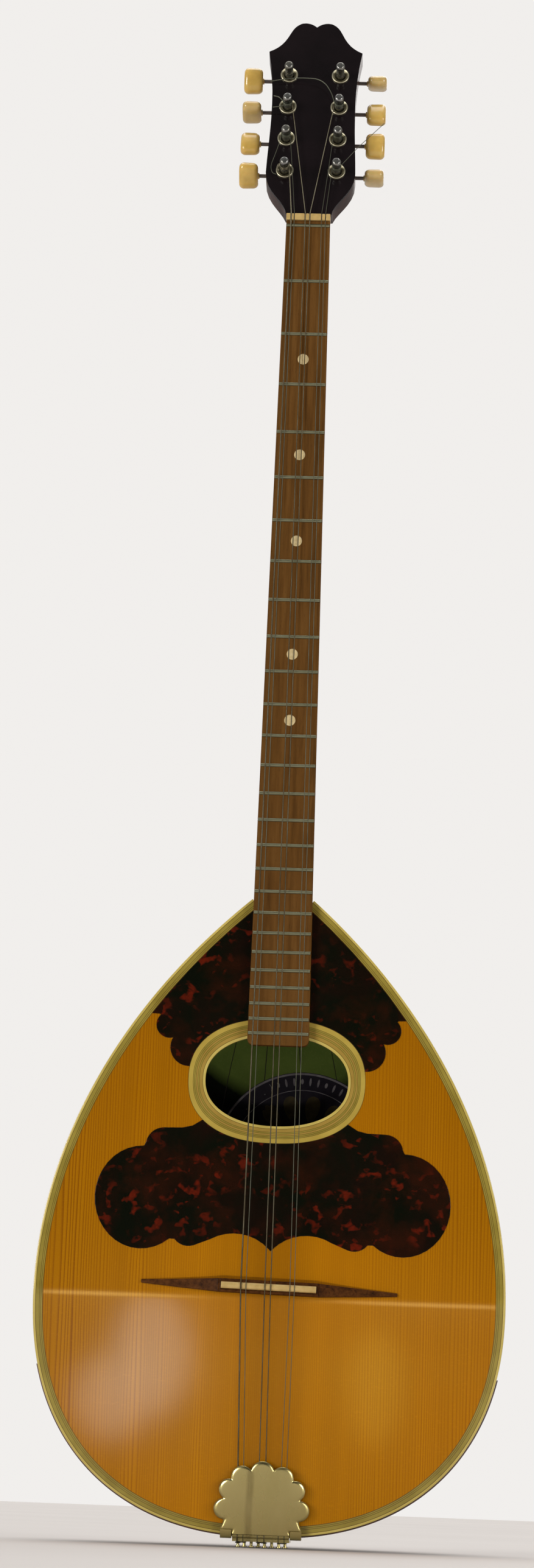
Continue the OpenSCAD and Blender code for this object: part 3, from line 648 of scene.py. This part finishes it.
def rim_line(steps=72):
    """The outline from the neck joint down the right side and up the left, as (x, z)."""
    right = [section(i / steps)[::2] for i in range(steps)]
    right += [section(1 + i / steps)[::2] for i in range(steps)]
    tail = [(0.0, 0.0)]
    return right + tail + [(-x, z) for x, z in reversed(right)]


def outward(line, i):
    a, b = line[max(i - 1, 0)], line[min(i + 1, len(line) - 1)]
    return Vector((-(b[1] - a[1]), b[0] - a[0])).normalized()


def rim_at(inset, line):
    """The outline moved inwards, as (x, z)."""
    normals = [outward(line, i) for i in range(len(line))]
    return [(x - n.x * inset, z - n.y * inset) for (x, z), n in zip(line, normals)]


def oval(grow, steps=144):
    power = lerp(2.2, 2.35, grow / RING_W)
    return [((HOLE_RX + grow) * spow(cos(a), 2 / power),
             HOLE_Z + (HOLE_RZ + grow) * spow(sin(a), 2 / power)) for a in angles(steps)]


# ---- Bowl ----


def build_staves():
    """Staves with a fine gap between them, eased edges and a grain that follows each one."""
    spots = (0, 0.016, 0.14, 0.28, 0.42, 0.58, 0.72, 0.86, 0.984, 1)
    steps, gap, tail_k, eased = 84, 0.06, 1.93, 0.3
    for i in range(RIB_COUNT):
        rings, grain = [], []
        length, before = 0, None
        for j in range(steps + 1):
            k = tail_k * j / steps
            half = section(k)[0]
            middle = bowl_at((i + 0.5) * STAVE_WIDE, k)
            length += (middle - before).length if before else 0
            before = middle
            ring = []
            for f, inner in [*((f, False) for f in spots), *((f, True) for f in reversed(spots))]:
                th = (i + f) * STAVE_WIDE + gap / half * (1 - 2 * f)
                sunk = RIB_T if inner else eased if f in (0, 1) else 0.0
                ring.append(bowl_point(th, k, -sunk))
                grain.append((f * STAVE_WIDE * half * MM, length * MM, i + 1))
            rings.append(ring)
        made = piece(f"stave_{i + 1:02d}", *skin(rings), LOOKS["stave"], part="bowl_ribs", sharp=40)
        stored = made.data.attributes.new("grain", "FLOAT_VECTOR", "POINT")
        stored.data.foreach_set("vector", [v for g in grain for v in g])


def build_clasp():
    """The thin wooden band that wraps the staves' ends at the tail."""
    def tail_point(a, d):
        q = (d / BODY_DEPTH) ** 2
        x = sqrt(1 - q) * sin(a)
        z = TAIL_LEN - TAIL_LEN * (1 - (x * x + q) ** (TAIL_POWER / 2)) ** (1 / TAIL_POWER)
        return Vector((BODY_HALF * x, TOP_T + top_y(z) * (1 - d / BODY_DEPTH) + d, z))

    def proud(a, d, off):
        here = tail_point(a, d)
        out = (tail_point(a + 0.01, d) - tail_point(a - 0.01, d)).cross(
            tail_point(a, d + 0.5) - tail_point(a, d - 0.5)).normalized()
        if out.dot(here - Vector((0, BODY_DEPTH / 3, TAIL_LEN))) < 0:
            out.negate()
        return here + out * off

    rings, steps, turns = [], 24, 96
    first, ends, reach = 0.6, 12, 34
    for i in range(turns + 1):
        a = radians(lerp(-76, 76, i / turns))
        deep = ends + reach * cos(a) ** 2
        spots = [0.0, 0.006, *((j + 1) / (steps + 1) for j in range(steps)), 0.994, 1.0]
        lifts = [0.55, 0.8, *[0.85] * steps, 0.8, 0.55]
        rings.append([proud(a, first + deep * f, lift) for f, lift in zip(spots, lifts)]
                     + [proud(a, first + deep * f, 0.2) for f in (1.0, 0.66, 0.33, 0.0)])
    piece("end_clasp_band", *skin(rings), LOOKS["clasp"], part="end_clasp")


def build_lining():
    """Green paper inside the bowl, laid in one strip for each stave, with a line of glue between."""
    across, steps = 6, 60
    heights = [0.10 + 1.78 * j / steps for j in range(steps + 1)]
    strips = []
    for i in range(RIB_COUNT):
        rings = []
        for k in heights:
            edge = 0.28 / section(k)[0]
            ths = [(i + m / across) * STAVE_WIDE + edge * (1 - 2 * m / across) for m in range(across + 1)]
            rings.append([bowl_point(th, k, -RIB_T - 0.32) for th in ths]
                         + [bowl_point(th, k, -RIB_T - 0.05) for th in reversed(ths)])
        piece(f"bowl_lining_{i + 1:02d}", *skin(rings), LOOKS["lining"])
    for i in range(1, RIB_COUNT):
        rings = []
        for k in heights:
            edge = 0.5 / section(k)[0]
            rings.append([bowl_point(i * STAVE_WIDE + e, k, -RIB_T - d)
                          for e, d in ((-edge, 0.04), (-edge, 0.16), (edge, 0.16), (edge, 0.04))])
        strips.append(skin(rings))
    piece("bowl_seams", *join(*strips), LOOKS["seam"])


def bowl_back(x, z, off):
    """The point on the bowl's back at a given x and height, moved inwards."""
    low, high = 0.0, 1.99
    for _ in range(40):
        k = (low + high) / 2
        low, high = (k, high) if section(k)[2] > z else (low, k)
    th = acos(max(-1, min(1, x / section(k)[0])))
    return bowl_point(th, k, -off)


def build_label():
    """A round paper label with a plain border, dots and petals, glued inside the bowl."""
    cx, cz, radius, slope = 12.9, 236, 57, 0.977
    under = RIB_T + 0.4
    printed = 0.33

    def spot(u, v, lift):
        return bowl_back(cx + u, cz + v * slope, under + lift)

    def patch(outline, lift, middle=(0, 0), rings=6):
        rows = [[spot(lerp(middle[0], u, r / rings), lerp(middle[1], v, r / rings), lift)
                 for u, v in outline] for r in range(1, rings + 1)]
        points, faces = skin(rows, caps=False)
        n = len(outline)
        points.append(spot(*middle, lift))
        faces += [(len(points) - 1, i, (i + 1) % n) for i in range(n)]
        return points, faces

    def ring(inner, outer):
        return skin([[spot(u, v, printed) for u, v in circle(r, 96)] for r in (inner, outer)], caps=False)

    def petal(a, far, shape, rings):
        """A closed shape of (outwards, sideways) points round a spot in direction a."""
        out, across = Vector((cos(a), sin(a))), Vector((-sin(a), cos(a)))
        return patch([tuple(out * (far + u) + across * v) for u, v in shape], printed,
                     tuple(out * far), rings)

    disc, back = patch(circle(radius), 0.25), patch(circle(radius), 0.0)
    n, around = len(disc[0]), 64
    last = n - 1 - around
    edge = [(last + i, last + (i + 1) % around, n + last + (i + 1) % around, n + last + i)
            for i in range(around)]
    points, faces = join(disc, back)
    piece("label_plate", points, faces + edge, LOOKS["print_dark"])
    pale = [ring(radius - 1.5, radius - 0.3), ring(radius - 11.2, radius - 10.8)]
    for i, a in enumerate(angles(60)):
        tall, thin = (2.6, 0.75) if i % 3 else (1.7, 1.0)
        pale.append(petal(a, radius - 5.6, [(tall * v, thin * u) for u, v in circle(1, 10)], 1))
    piece("label_border", *join(*pale), LOOKS["print_pale"])
    leaf = [(9 * u, 4.2 * v * (1.1 + 0.5 * u)) for u, v in circle(1, 18)]
    petals = [petal(a, 34, leaf, 2) for a in angles(16, 0.5)]
    petals.append(patch(circle(5.5, 24), printed))
    piece("label_rosette", *join(*petals), LOOKS["print_gold"])


# ---- Soundboard, binding and rosette ----


def build_soundboard():
    """A plate with the soundhole's opening, cut across so that it can bend at the crease."""
    bm = bmesh.new()
    edges = []
    joint_z = TAIL_LEN + UPPER_LEN
    line = rim_at(BINDING_W, rim_line())
    for loop in (line, oval(RING_W)):
        verts = [bm.verts.new((x, 0, min(z, joint_z))) for x, z in loop]
        edges += [bm.edges.new((a, b)) for a, b in zip(verts, verts[1:] + verts[:1])]
    bmesh.ops.triangle_fill(bm, edges=edges, use_beauty=True)
    for i in range(-7, 8):
        z = TAIL_LEN + CREASE_SOFT * i / 7
        bmesh.ops.bisect_plane(bm, geom=[*bm.verts, *bm.edges, *bm.faces], plane_co=(0, 0, z),
                               plane_no=(0, 0, 1), dist=1e-5)
    grown = bmesh.ops.extrude_face_region(bm, geom=list(bm.faces))["geom"]
    for v in grown:
        if isinstance(v, bmesh.types.BMVert):
            v.co.y = TOP_T
    for v in bm.verts:
        v.co.y += top_y(v.co.z)
    points = [v.co.copy() for v in bm.verts]
    bm.verts.index_update()
    faces = [tuple(v.index for v in f.verts) for f in bm.faces]
    bm.free()
    piece("soundboard_plate", points, faces, LOOKS["spruce"], part="soundboard", sharp=20)


def banded(name, profile, materials, places, loop, part):
    """A strip with a profile of (inset, height) points; each stretch has its own material."""
    points, faces = skin([[place(*spot) for spot in profile] for place in places], loop=loop)
    used = sorted(set(materials))
    wanted = [used.index(materials[i % len(profile)]) for i in range(len(faces))]
    piece(name, points, faces, [LOOKS[m] for m in used], part=part,
          face_looks=wanted, sharp=25)


def build_binding():
    """Cream binding outside dark and olive lines, with a rounded outer edge."""
    line = rim_line()
    w = BINDING_W
    insets = (w, w - 0.35, w - 1.05, w - 1.3, w - 2.0, w - 2.25, 1.75, 1.45)
    profile = [(w, TOP_T), *((inset, 0.0) for inset in insets),
               (0.55, 0.0), (0.16, 0.16), (0.0, 0.55), (0.0, TOP_T)]
    looks = ["line", *["line", "olive"] * 3, "line", *["cream_bright"] * 4, "cream"]

    def station(spot, n):
        def place(inset, high):
            x, z = spot[0] - n.x * inset, min(spot[1] - n.y * inset, TAIL_LEN + UPPER_LEN)
            return Vector((x, top_y(z) + high, z))
        return place

    places = [station(spot, outward(line, i)) for i, spot in enumerate(line)]
    banded("edge_binding_strip", profile, looks, places, False, "edge_binding")


def build_rosette():
    """Rings round the soundhole: (how far out from the hole it ends, look) in order."""
    rings = ((1.5, "cream_bright"), (1.75, "line"), (3.6, "tan"), (3.8, "line"), (4.5, "olive"),
             (4.7, "line"), (5.6, "tan"), (5.8, "line"), (6.5, "olive"), (6.7, "line"), (7.4, "olive"),
             (7.6, "line"), (RING_W - 0.25, "cream"), (RING_W, "line"))
    profile = [(0.0, TOP_T), (0.0, 0.1), *((grow, -0.06) for grow, _ in rings), (RING_W, TOP_T)]
    looks = ["cream_bright", *(look for _, look in rings), "line", "cream"]
    loops = {grow: oval(grow) for grow, _ in profile}

    def station(i):
        return lambda grow, high: Vector((loops[grow][i][0], high, loops[grow][i][1]))

    places = [station(i) for i in range(len(loops[0.0]))]
    banded("rosette_rings", profile, looks, places, True, "rosette")


# ---- Tuner buttons ----

# How far each button is turned on its shaft, in degrees, for rows 1 to 4
BUTTON_TURNS = {"l": (-16.6, -80.6, 11, -56.6), "r": (-109.6, 13.8, -11.6, -99)}


def build_button(side, row):
    """A pillow-shaped button with soft edges and slightly hollow faces."""
    sign = SIDES[side]
    turn = radians(BUTTON_TURNS[side][row - 1])
    shaft_y, shaft_z = WORM_Y, post_along(row) + MESH_DIST
    corner, steps, trim = 3.2, 24, 0.05
    rings = []
    for j in range(steps + 1):
        f = 0.5 - 0.5 * cos(pi * j / steps)
        near = min(f, 1 - f) * BUTTON_W / corner
        fall = sqrt(1 - (1 - near) ** 2) if near < 1 else 1
        wide = lerp(0.66, 1.0, fall) * (1 - 0.04 * (1 - f) ** 2)
        thick = lerp(0.55, 1.0, fall) * (1 - 0.06 * (1 - f))
        ring = []
        for a in angles(40, 0.5):
            u = (BUTTON_TALL / 2 * wide - trim) * spow(cos(a), 2 / 2.7)
            v = (BUTTON_THICK / 2 * thick - trim) * spow(sin(a), 2 / 2.4)
            y = shaft_y + u * sin(turn) + v * cos(turn)
            z = shaft_z + u * cos(turn) - v * sin(turn)
            ring.append(head_point(sign * (BUTTON_X + BUTTON_W * f), z, -y))
        rings.append(ring)
    collar = [[head_point(sign * (BUTTON_X + x), shaft_z + u, -shaft_y - v) for u, v in circle(r, 24)]
              for x, r in ((-0.8, 1.75), (-0.7, 1.95), (0.0, 2.1), (0.8, 2.2), (0.8, 1.3), (-0.8, 1.3))]
    key = f"{side}{row}"
    # Some buttons take the paler copy: painted highlight
    look = LOOKS["button_painted_highlight" if key in HIGHLIGHT_PAINTED_BUTTONS else "button"]
    piece(f"button_{key}", *join(skin(rings), skin(collar, loop=True)), look, f"key_{key}",
          [f"tuner_button_{key}"], "tuner_button", sharp=50)


def build_bushings():
    """A flanged ring round each post: a bright rolled rim, a rougher dished face darkened with painted
    shade, and a throat in dark steel as painted shade in the hole.
    """
    outer = [(5.75, 0.02), (5.75, 0.75), (5.62, 1.1), (5.35, 1.3), (5.05, 1.22), (4.85, 0.95)]
    dish = [(4.7, 0.8), (4.0, 0.62), (3.45, 0.5)]
    throat = [(3.3, 0.3), (3.04, -0.6), (3.04, -1.6), (3.6, -1.6), (3.6, 0.02)]
    parts, wanted = [], []
    n = 40
    for sign in SIDES.values():
        for row in ROWS:
            parts.append(skin([[head_point(sign * POST_X + u, post_along(row) + v, high)
                                for u, v in circle(r, n)] for r, high in outer + dish + throat], loop=True))
            wanted += [0] * len(outer) * n + [1] * len(dish) * n + [2] * len(throat) * n
    # The dished face and the throat take darker looks: painted shade
    looks = [LOOKS[name] for name in ("bushing", "bushing_dull", "dark_steel")]
    piece("post_bushing_rings", *join(*parts), looks, part="post_bushings",
          face_looks=wanted, sharp=60)


# ---- Strings ----

# Post side and row, x at the nut, the saddle and the tail, radius, wound or plain
STRINGS = (("l", 4, -11, -16.6, -14, 0.45, "wound"), ("l", 3, -9, -13.5, -10.5, 0.22, "wire"),
           ("l", 2, -2, -2.2, -2, 0.33, "wound"), ("r", 2, 1, 1.3, 2, 0.33, "wound"),
           ("r", 3, 8.5, 12.8, 10.5, 0.2, "wire"), ("r", 4, 11, 15.5, 14, 0.2, "wire"))
# Each hook's depth behind the soundboard, by its x
HOOK_Y = {-14: 26, -10.5: 34, -2: 34, 2: 26, 10.5: 26, 14: 34}
# The saddle's slant across the soundboard
SKEW = sin(radians(1.2))
FRET_H = 1
CLEAR, CLEAR_PLATE = 0.02, 0.08
COIL_LOW, COIL_HIGH = 5.0, 8.4


def twist(a, b, turns, reach, sides=12):
    """A wire wound tightly round the straight stretch from a to b."""
    a, b = Vector(a), Vector(b)
    t = (b - a).normalized()
    u = t.orthogonal().normalized()
    v = t.cross(u)
    steps = turns * sides
    return [a + (b - a) * i / steps + (u * cos(2 * pi * i / sides)
            + v * sin(2 * pi * i / sides)) * reach for i in range(steps + 1)]


def build_string(side, row, nut_x, saddle_x, tail_x, r, kind):
    """From a loop on its hook, under the plate, round the hinge and over saddle and nut to the post."""
    under = BASE_Z - r - CLEAR_PLATE
    hook_y, loop_z = HOOK_Y[tail_x], BASE_Z - r - CLEAR_PLATE - 0.2
    speaking = -BOARD_T - FRET_H - r - CLEAR
    wrap, ring = HINGE_R + r + 0.05, 1.0 + r
    bend = [(tail_x, HINGE_Y + wrap * cos(a), HINGE_Z + wrap * sin(a))
            for a in (radians(d) for d in (250, 230, 210, 190, 178))]
    route = [(tail_x, hook_y - 1.9, loop_z), (tail_x, 15, under), (tail_x, HINGE_Y + 0.8, under), *bend,
             (saddle_x, -SADDLE_H - r - CLEAR, SADDLE_Z - saddle_x * SKEW),
             (nut_x, speaking, ZERO_Z), (nut_x, speaking, NUT_HIGH - 0.4),
             (nut_x, speaking + 0.05, NUT_HIGH + 0.4),
             head_point(SIDES[side] * (POST_X - WAIST_R - r - CLEAR), post_along(row) - 0.3, COIL_LOW)]
    loop = [(tail_x + ring * cos(a), hook_y + ring * sin(a), loop_z)
            for a in (radians(-90 + d) for d in range(0, 361, 20))]
    lock = twist((tail_x, hook_y - 2.2, loop_z), (tail_x, hook_y - 8, under), 8, r * 1.5)
    piece(f"string_{side}{row}", *join(tube(route, r), tube(loop, r * 0.8, 8), tube(lock, r * 0.5, 6)),
          LOOKS[kind], part="strings", sharp=60)


# Loose end of each string from its post's hole: (x, along the head, height above it) in order
TAILS = {
    "l4": [(-20.6, 33.6, 6.4), (-21.4, 31.0, 6.6), (-20.2, 29.4, 6.0)],
    "l3": [(-20.0, 56.8, 6.3), (-20.6, 52, 5.2), (-23.2, 43, 4.0), (-25.4, 35, 3.4), (-24.6, 30.0, 3.0),
           (-22.2, 28.4, 3.0)],
    "l2": [(-20.4, 83.6, 6.2), (-22.6, 86.2, 5.6), (-25.8, 87.4, 5.2)],
    "r2": [(13.0, 84.6, 6.4), (11.0, 91, 5.6), (7.0, 98, 4.8), (1.5, 101.8, 4.2), (-7, 103.0, 3.4),
           (-15, 102.9, 3.0), (-22, 102.0, 2.6), (-28.2, 101.0, 2.0)],
    "r3": [(20.4, 57.4, 6.4), (21.8, 55.6, 6.6)],
    "r4": [(20.0, 34.2, 6.6), (23.5, 38.5, 7.2), (30, 46.5, 8.2), (38, 55, 9.4), (46.5, 64, 10.5)],
}


def build_winding(side, row, r, kind):
    """The turns round the post, the stretch through its hole and the loose end."""
    key = f"{side}{row}"
    post, along = SIDES[side] * POST_X, post_along(row)
    reach = WAIST_R + r + CLEAR
    turns = 3.25 if r > 0.3 else 5.25
    steps = int(turns * 20)
    start = pi if side == "r" else 0.0
    coil = []
    for i in range(steps + 1):
        a = start - SIDES[side] * 2 * pi * turns * i / steps
        high = lerp(COIL_LOW, COIL_LOW + turns * (2 * r + 0.04), i / steps) - 0.35
        coil.append(head_point(post + reach * cos(a), along + reach * sin(a),
                               min(high, COIL_HIGH)))
    tail = TAILS[key]
    toward = 1 if tail[0][0] > post else -1
    through = [(post - toward * 3.1, along + 0.5, HOLE_H + 0.1), (post, along, HOLE_H),
               (post + toward * 2.9, along, HOLE_H)]
    wire = smooth_path([head_point(*p) for p in through + tail], 6)
    piece(f"string_end_{key}", *join(tube(coil, r, 8), tube(wire, r, 8)),
          LOOKS[kind if r > 0.4 else "wire"], f"capstan_{key}", slot="strings", sharp=60)


# The second cut-off wire beside the post of row 2 on the left
SPARE_END = [(-19.2, 80.6, 4.6), (-22, 79.9, 4.2), (-26.0, 79.4, 4.0)]

# ---- Tailpiece cover ----

# Lobes of the edge: x, z, radius. Then the straight edges' corners on the right side.
SCALLOPS = ((0, 37, 7.4), (11.8, 34.4, 7), (19.4, 27.1, 6.4), (22.4, 15.6, 6.2))
COVER_SIDE = ((17.0, 1.0), (17.2, 3.0), (24.2, 3.0), (24.2, 4.2), (22.6, 8.2), (21.5, 14))


def mirrored(rows):
    return [(-x, *rest) for x, *rest in rows]


def cover_reach(angle, centre):
    """How far the cover's outline is from its centre in one direction."""
    dx, dz = cos(angle), sin(angle)
    best = 0
    for x, z, r in [*SCALLOPS, *mirrored(SCALLOPS[1:])]:
        ox, oz = centre[0] - x, centre[1] - z
        b = ox * dx + oz * dz
        c = ox * ox + oz * oz - r * r
        if b * b > c:
            best = max(best, -b + sqrt(b * b - c))
    corners = [*COVER_SIDE, *mirrored(reversed(COVER_SIDE))]
    for (ax, az), (bx, bz) in zip(corners, corners[1:] + corners[:1]):
        ex, ez = bx - ax, bz - az
        det = dx * -ez + ex * dz
        if abs(det) < 1e-9:
            continue
        t = ((ax - centre[0]) * -ez + ex * (az - centre[1])) / det
        s = (dx * (az - centre[1]) - dz * (ax - centre[0])) / det
        if t > 0 and 0 <= s <= 1:
            best = max(best, t)
    return best


def cover_point(x, y, z):
    c, s = cos(COVER_LEAN), sin(COVER_LEAN)
    return Vector((x, HINGE_Y + y * c - z * s, HINGE_Z + y * s + z * c))


def dome(x):
    """How far the cover's plate falls back at its sides."""
    return 1.5 * (x / 27) ** 2


def cover_plate():
    """The stamped plate, in rings from its middle round its edge and back inside."""
    cx, cz = 0, 19
    turns = angles(288)
    reach = [cover_reach(a, (cx, cz)) for a in turns]

    def ring(inset, rise, flat=0.0, skirt=False, scale=None):
        """flat is the rise where the edge isn't rolled, between the knuckles, to clear the strings."""
        out = []
        for a, r in zip(turns, reach):
            far = r * scale if scale is not None else r - inset
            x, z = cx + far * cos(a), cz + far * sin(a)
            edge_x, edge_z = cx + r * cos(a), cz + r * sin(a)
            rolled = ease((edge_z - 1.0) / 1.8)
            y = COVER_FRONT + lerp(flat, rise, rolled) + dome(x)
            if skirt:
                side = ease((abs(edge_x) - 15.5) / 2.5) * ease((edge_z - 6) / 3)
                y = max(y, COVER_FRONT + lerp(1.0, 4.2, side) * rolled)
            out.append(cover_point(x, y, z))
        return out

    thick = COVER_PLATE
    scales = (0.02, 0.2, 0.4, 0.6, 0.75)
    rings = [ring(0, 0, scale=s) for s in scales]
    rings += [ring(*r) for r in (
        (2.6, 0.0), (1.7, 0.05), (1.0, 0.25), (0.45, 0.55), (0.1, 0.8), (0.0, 1.0, 0.1),
        (0.0, 1.05, 0.3, True), (0.35, 1.15, thick, True), (0.7, 1.1, thick, True), (0.75, 1.05, thick),
        (1.3, 0.9, thick), (2.0, 0.75, thick), (3.0, thick, thick))]
    rings += [ring(0, thick, thick, scale=s) for s in reversed(scales)]
    points, faces = skin(rings, caps=False)
    n, first, start = len(turns), len(points), len(points) - len(turns)
    points += [cover_point(cx, COVER_FRONT, cz), cover_point(cx, COVER_FRONT + thick, cz)]
    faces += [(first, (i + 1) % n, i) for i in range(n)]
    faces += [(first + 1, start + i, start + (i + 1) % n) for i in range(n)]
    return points, faces


def cover_knuckle(low, high):
    """A hinge barrel and the strip of plate that wraps it, between two places across."""
    barrel = ((low, 1.85), (low + 0.25, 2.1), (high - 0.25, 2.1), (high, 1.85), (high, 0.88), (low, 0.88))
    rings = [[Vector((x, HINGE_Y + u, HINGE_Z + v)) for u, v in circle(r, 28)] for x, r in barrel]
    front = COVER_FRONT
    strip = [(front + 0.02, 3.6), (front + 0.05, 1.6), (front + 0.9, -0.4), (front + 2.4, -1.75),
             (-1.2, -1.95), (0.2, -2.05), (0.2, -1.3), (-1.1, -1.2), (front + 2.8, -1.05),
             (front + 1.6, 0.0), (front + 0.82, 1.8), (front + 0.75, 3.6)]
    wrap = [[cover_point(x, y + dome(x) * 0.8, z) for y, z in strip]
            for x in (low, low + 0.3, (low + high) / 2, high - 0.3, high)]
    return join(skin(rings, loop=True), skin(wrap))


def build_cover():
    """A stamped plate with seven scallops, a rolled edge, a slight dome and two hinge knuckles."""
    parts = [cover_plate(), cover_knuckle(-KNUCKLE_OUT, -KNUCKLE_IN),
             cover_knuckle(KNUCKLE_IN, KNUCKLE_OUT)]
    piece("tailpiece_cover_plate", *join(*parts), LOOKS["cover"], "tail_cover", ["tailpiece_cover"],
          "tailpiece_cover", sharp=50)


# ---- Pieces ----

build_staves()
build_clasp()
build_lining()
build_label()
build_soundboard()
build_binding()
build_rosette()
for side, row, nut_x, saddle_x, tail_x, radius, kind in STRINGS:
    build_string(side, row, nut_x, saddle_x, tail_x, radius, kind)
    build_winding(side, row, radius, kind)
spare = tube(smooth_path([head_point(*p) for p in SPARE_END], 5), 0.33, 8)
piece("string_end_spare", *spare, LOOKS["wire"], "capstan_l2", slot="strings", sharp=60)
build_cover()
build_bushings()

for node, look, bevel in (
        ("neck", "neck", 0), ("neck_block", "raw", 0),
        ("tail_block", "raw", 0.3), ("top_braces", "raw", 0.5), ("rim_lining", "raw", 0),
        ("upper_guard", "shell", 0.12), ("lower_guard", "shell", 0.12),
        ("fretboard", "fretboard", 0.25), ("frets", "fret_wire", 0), ("fret_dots", "dot", 0),
        ("nut", "bone", 0.35), ("headstock", "head_core", 0.4), ("headstock_veneer", "black", 0.35),
        ("bridge_base", "bridge", 0.3), ("bridge_saddle", "bone", 0.25),
        ("tailpiece_base", "cover", 0.2), ("tailpiece_pin", "wire", 0.1),
        ("tailpiece_screws", "nickel", 0.12), ("tuner_plates", "nickel", 0.15),
        ("tuner_screws", "nickel", 0.08)):
    dress(node, LOOKS[look], bevel)
for side in SIDES:
    for row in ROWS:
        build_button(side, row)
        dress(f"worm_shaft_{side}{row}", LOOKS["dark_steel"], 0)
        dress(f"string_post_{side}{row}", LOOKS["post"], 0.12)
        dress(f"worm_gear_{side}{row}", LOOKS["gear"], 0.08)

# ---- Stage ----


def build_floor():
    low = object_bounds()[0].z - 0.3 * MM
    look = Look("pale_floor", roughness=0.9)
    cloud = look.cloud(1.5, 3)
    look.paint(base_color=look.mix(look.spread(cloud, 0.3, 0.7), (0.60, 0.57, 0.55), (0.64, 0.61, 0.59)))
    mesh = bpy.data.meshes.new("floor")
    reach = 9
    mesh.from_pydata([(x * reach, y * reach, low) for x, y in ((-1, -1), (1, -1), (1, 1), (-1, 1))],
                     [], [(0, 1, 2, 3)])
    mesh.materials.append(look.mat)
    floor = show("floor", mesh)


def place_light(name, kind, at, toward, energy, colour):
    data = bpy.data.lights.new(name, kind)
    data.energy, data.color = energy, colour
    light = show(name, data)
    light.location = at
    light.rotation_euler = Vector(toward).to_track_quat("Z", "Y").to_euler()
    return light


def build_sun(name, toward, strength, spread, colour):
    """A broad, distant light that comes from the given direction."""
    sun = place_light(name, "SUN", Vector(toward).normalized() * 4, toward, strength, colour)
    sun.data.angle = radians(spread)


def build_card(name, at, size, watts, colour, lit):
    """A small oval light in front of the instrument, facing it, that only reaches some pieces."""
    card = place_light(name, "AREA", at, (0, -1, 0), watts, colour)
    card.data.shape = "ELLIPSE"
    card.data.size, card.data.size_y = size
    card.visible_camera = False
    card.light_linking.receiver_collection = lit
    return card


def gather(name, *starts):
    """A collection of the pieces whose names begin in the given ways."""
    made = bpy.data.collections.new(name)
    for shown in list(bpy.context.scene.objects):
        if shown.name.startswith(starts):
            made.objects.link(shown)
    return made


def build_world():
    """Bright to the camera; to everything else dark in front and brighter behind and above."""
    world = bpy.data.worlds.new("studio")
    bpy.context.scene.world = world
    world.use_nodes = True
    sky = Graph(world.node_tree)
    seen = world.node_tree.nodes["Background"]
    sky.feed(seen.inputs["Color"], (0.88, 0.86, 0.84))
    spot = sky.node("SeparateXYZ", {0: sky.node("TexCoord").outputs["Generated"]}).outputs
    soft = {"interpolation_type": "SMOOTHSTEP"}
    behind = sky.spread(spot["Y"], -0.5, 0.5, 0.035, 0.5, **soft)
    above = sky.spread(spot["Z"], 0.5, 1.0, 0.0, 0.3, **soft)
    fill = sky.node("Background", {"Color": (0.97, 0.95, 0.93), "Strength": sky.calc("ADD", behind, above)})
    ray = sky.node("LightPath").outputs["Is Camera Ray"]
    pick = sky.node("MixShader", {0: ray, 1: fill.outputs[0], 2: seen.outputs[0]})
    sky.feed(world.node_tree.nodes["World Output"].inputs["Surface"], pick.outputs[0])


build_floor()
build_world()
bpy.context.scene.view_settings.view_transform = "Standard"
build_sun("key", (-1.9, -2.3, 0.45), 1.95, 22, (1, 0.97, 0.93))
build_sun("fill", (2.0, -2.1, 0.45), 1.1, 22, (1, 0.97, 0.94))
build_sun("rim", (0.6, 2.2, 1.5), 0.35, 30, (1, 0.98, 0.96))
build_sun("above", (0.0, 0.15, 1.0), 1.7, 50, (1, 0.98, 0.96))

inside = gather("inside", "bowl_lining", "bowl_seams", "label", "tail_block", "neck_block")
front = gather("front", "soundboard_plate")
build_card("low_front", (0.05, -0.95, 0.03), (0.12, 0.03), 0.9, (1, 0.97, 0.94), inside)
build_card("floor_glow", (0, -0.4, 0.03), (0.4, 0.03), 1.6, (0.95, 1.0, 0.2), front).visible_glossy = False
for name, at, size, watts, colour in (
        ("crease_left", (-0.148, -0.6, 0.096), (0.14, 0.05), 1.0, (1, 0.7, 0.22)),
        ("crease_right", (0.110, -0.6, 0.096), (0.16, 0.05), 1.0, (1, 0.7, 0.22)),
        ("card_left_high", (-0.090, -0.30, 0.054), (0.052, 0.085), 0.27, (0.96, 0.94, 0.86)),
        ("card_left_low", (-0.118, -0.30, 0.022), (0.050, 0.056), 0.17, (0.96, 0.92, 0.8)),
        ("card_right", (0.064, -0.30, 0.036), (0.036, 0.082), 0.11, (1, 0.72, 0.1))):
    build_card(name, at, size, watts, colour, front).visible_diffuse = False

camera = show("camera", bpy.data.cameras.new("camera"))
camera.data.sensor_width = 36
camera.data.lens = 78.26
camera.location = (0.0721, -2.0651, 0.02)
camera.rotation_euler = [radians(a) for a in (101.9055, -2.1443, 1.9041)]
camera.data.clip_end = 60
bpy.context.scene.camera = camera
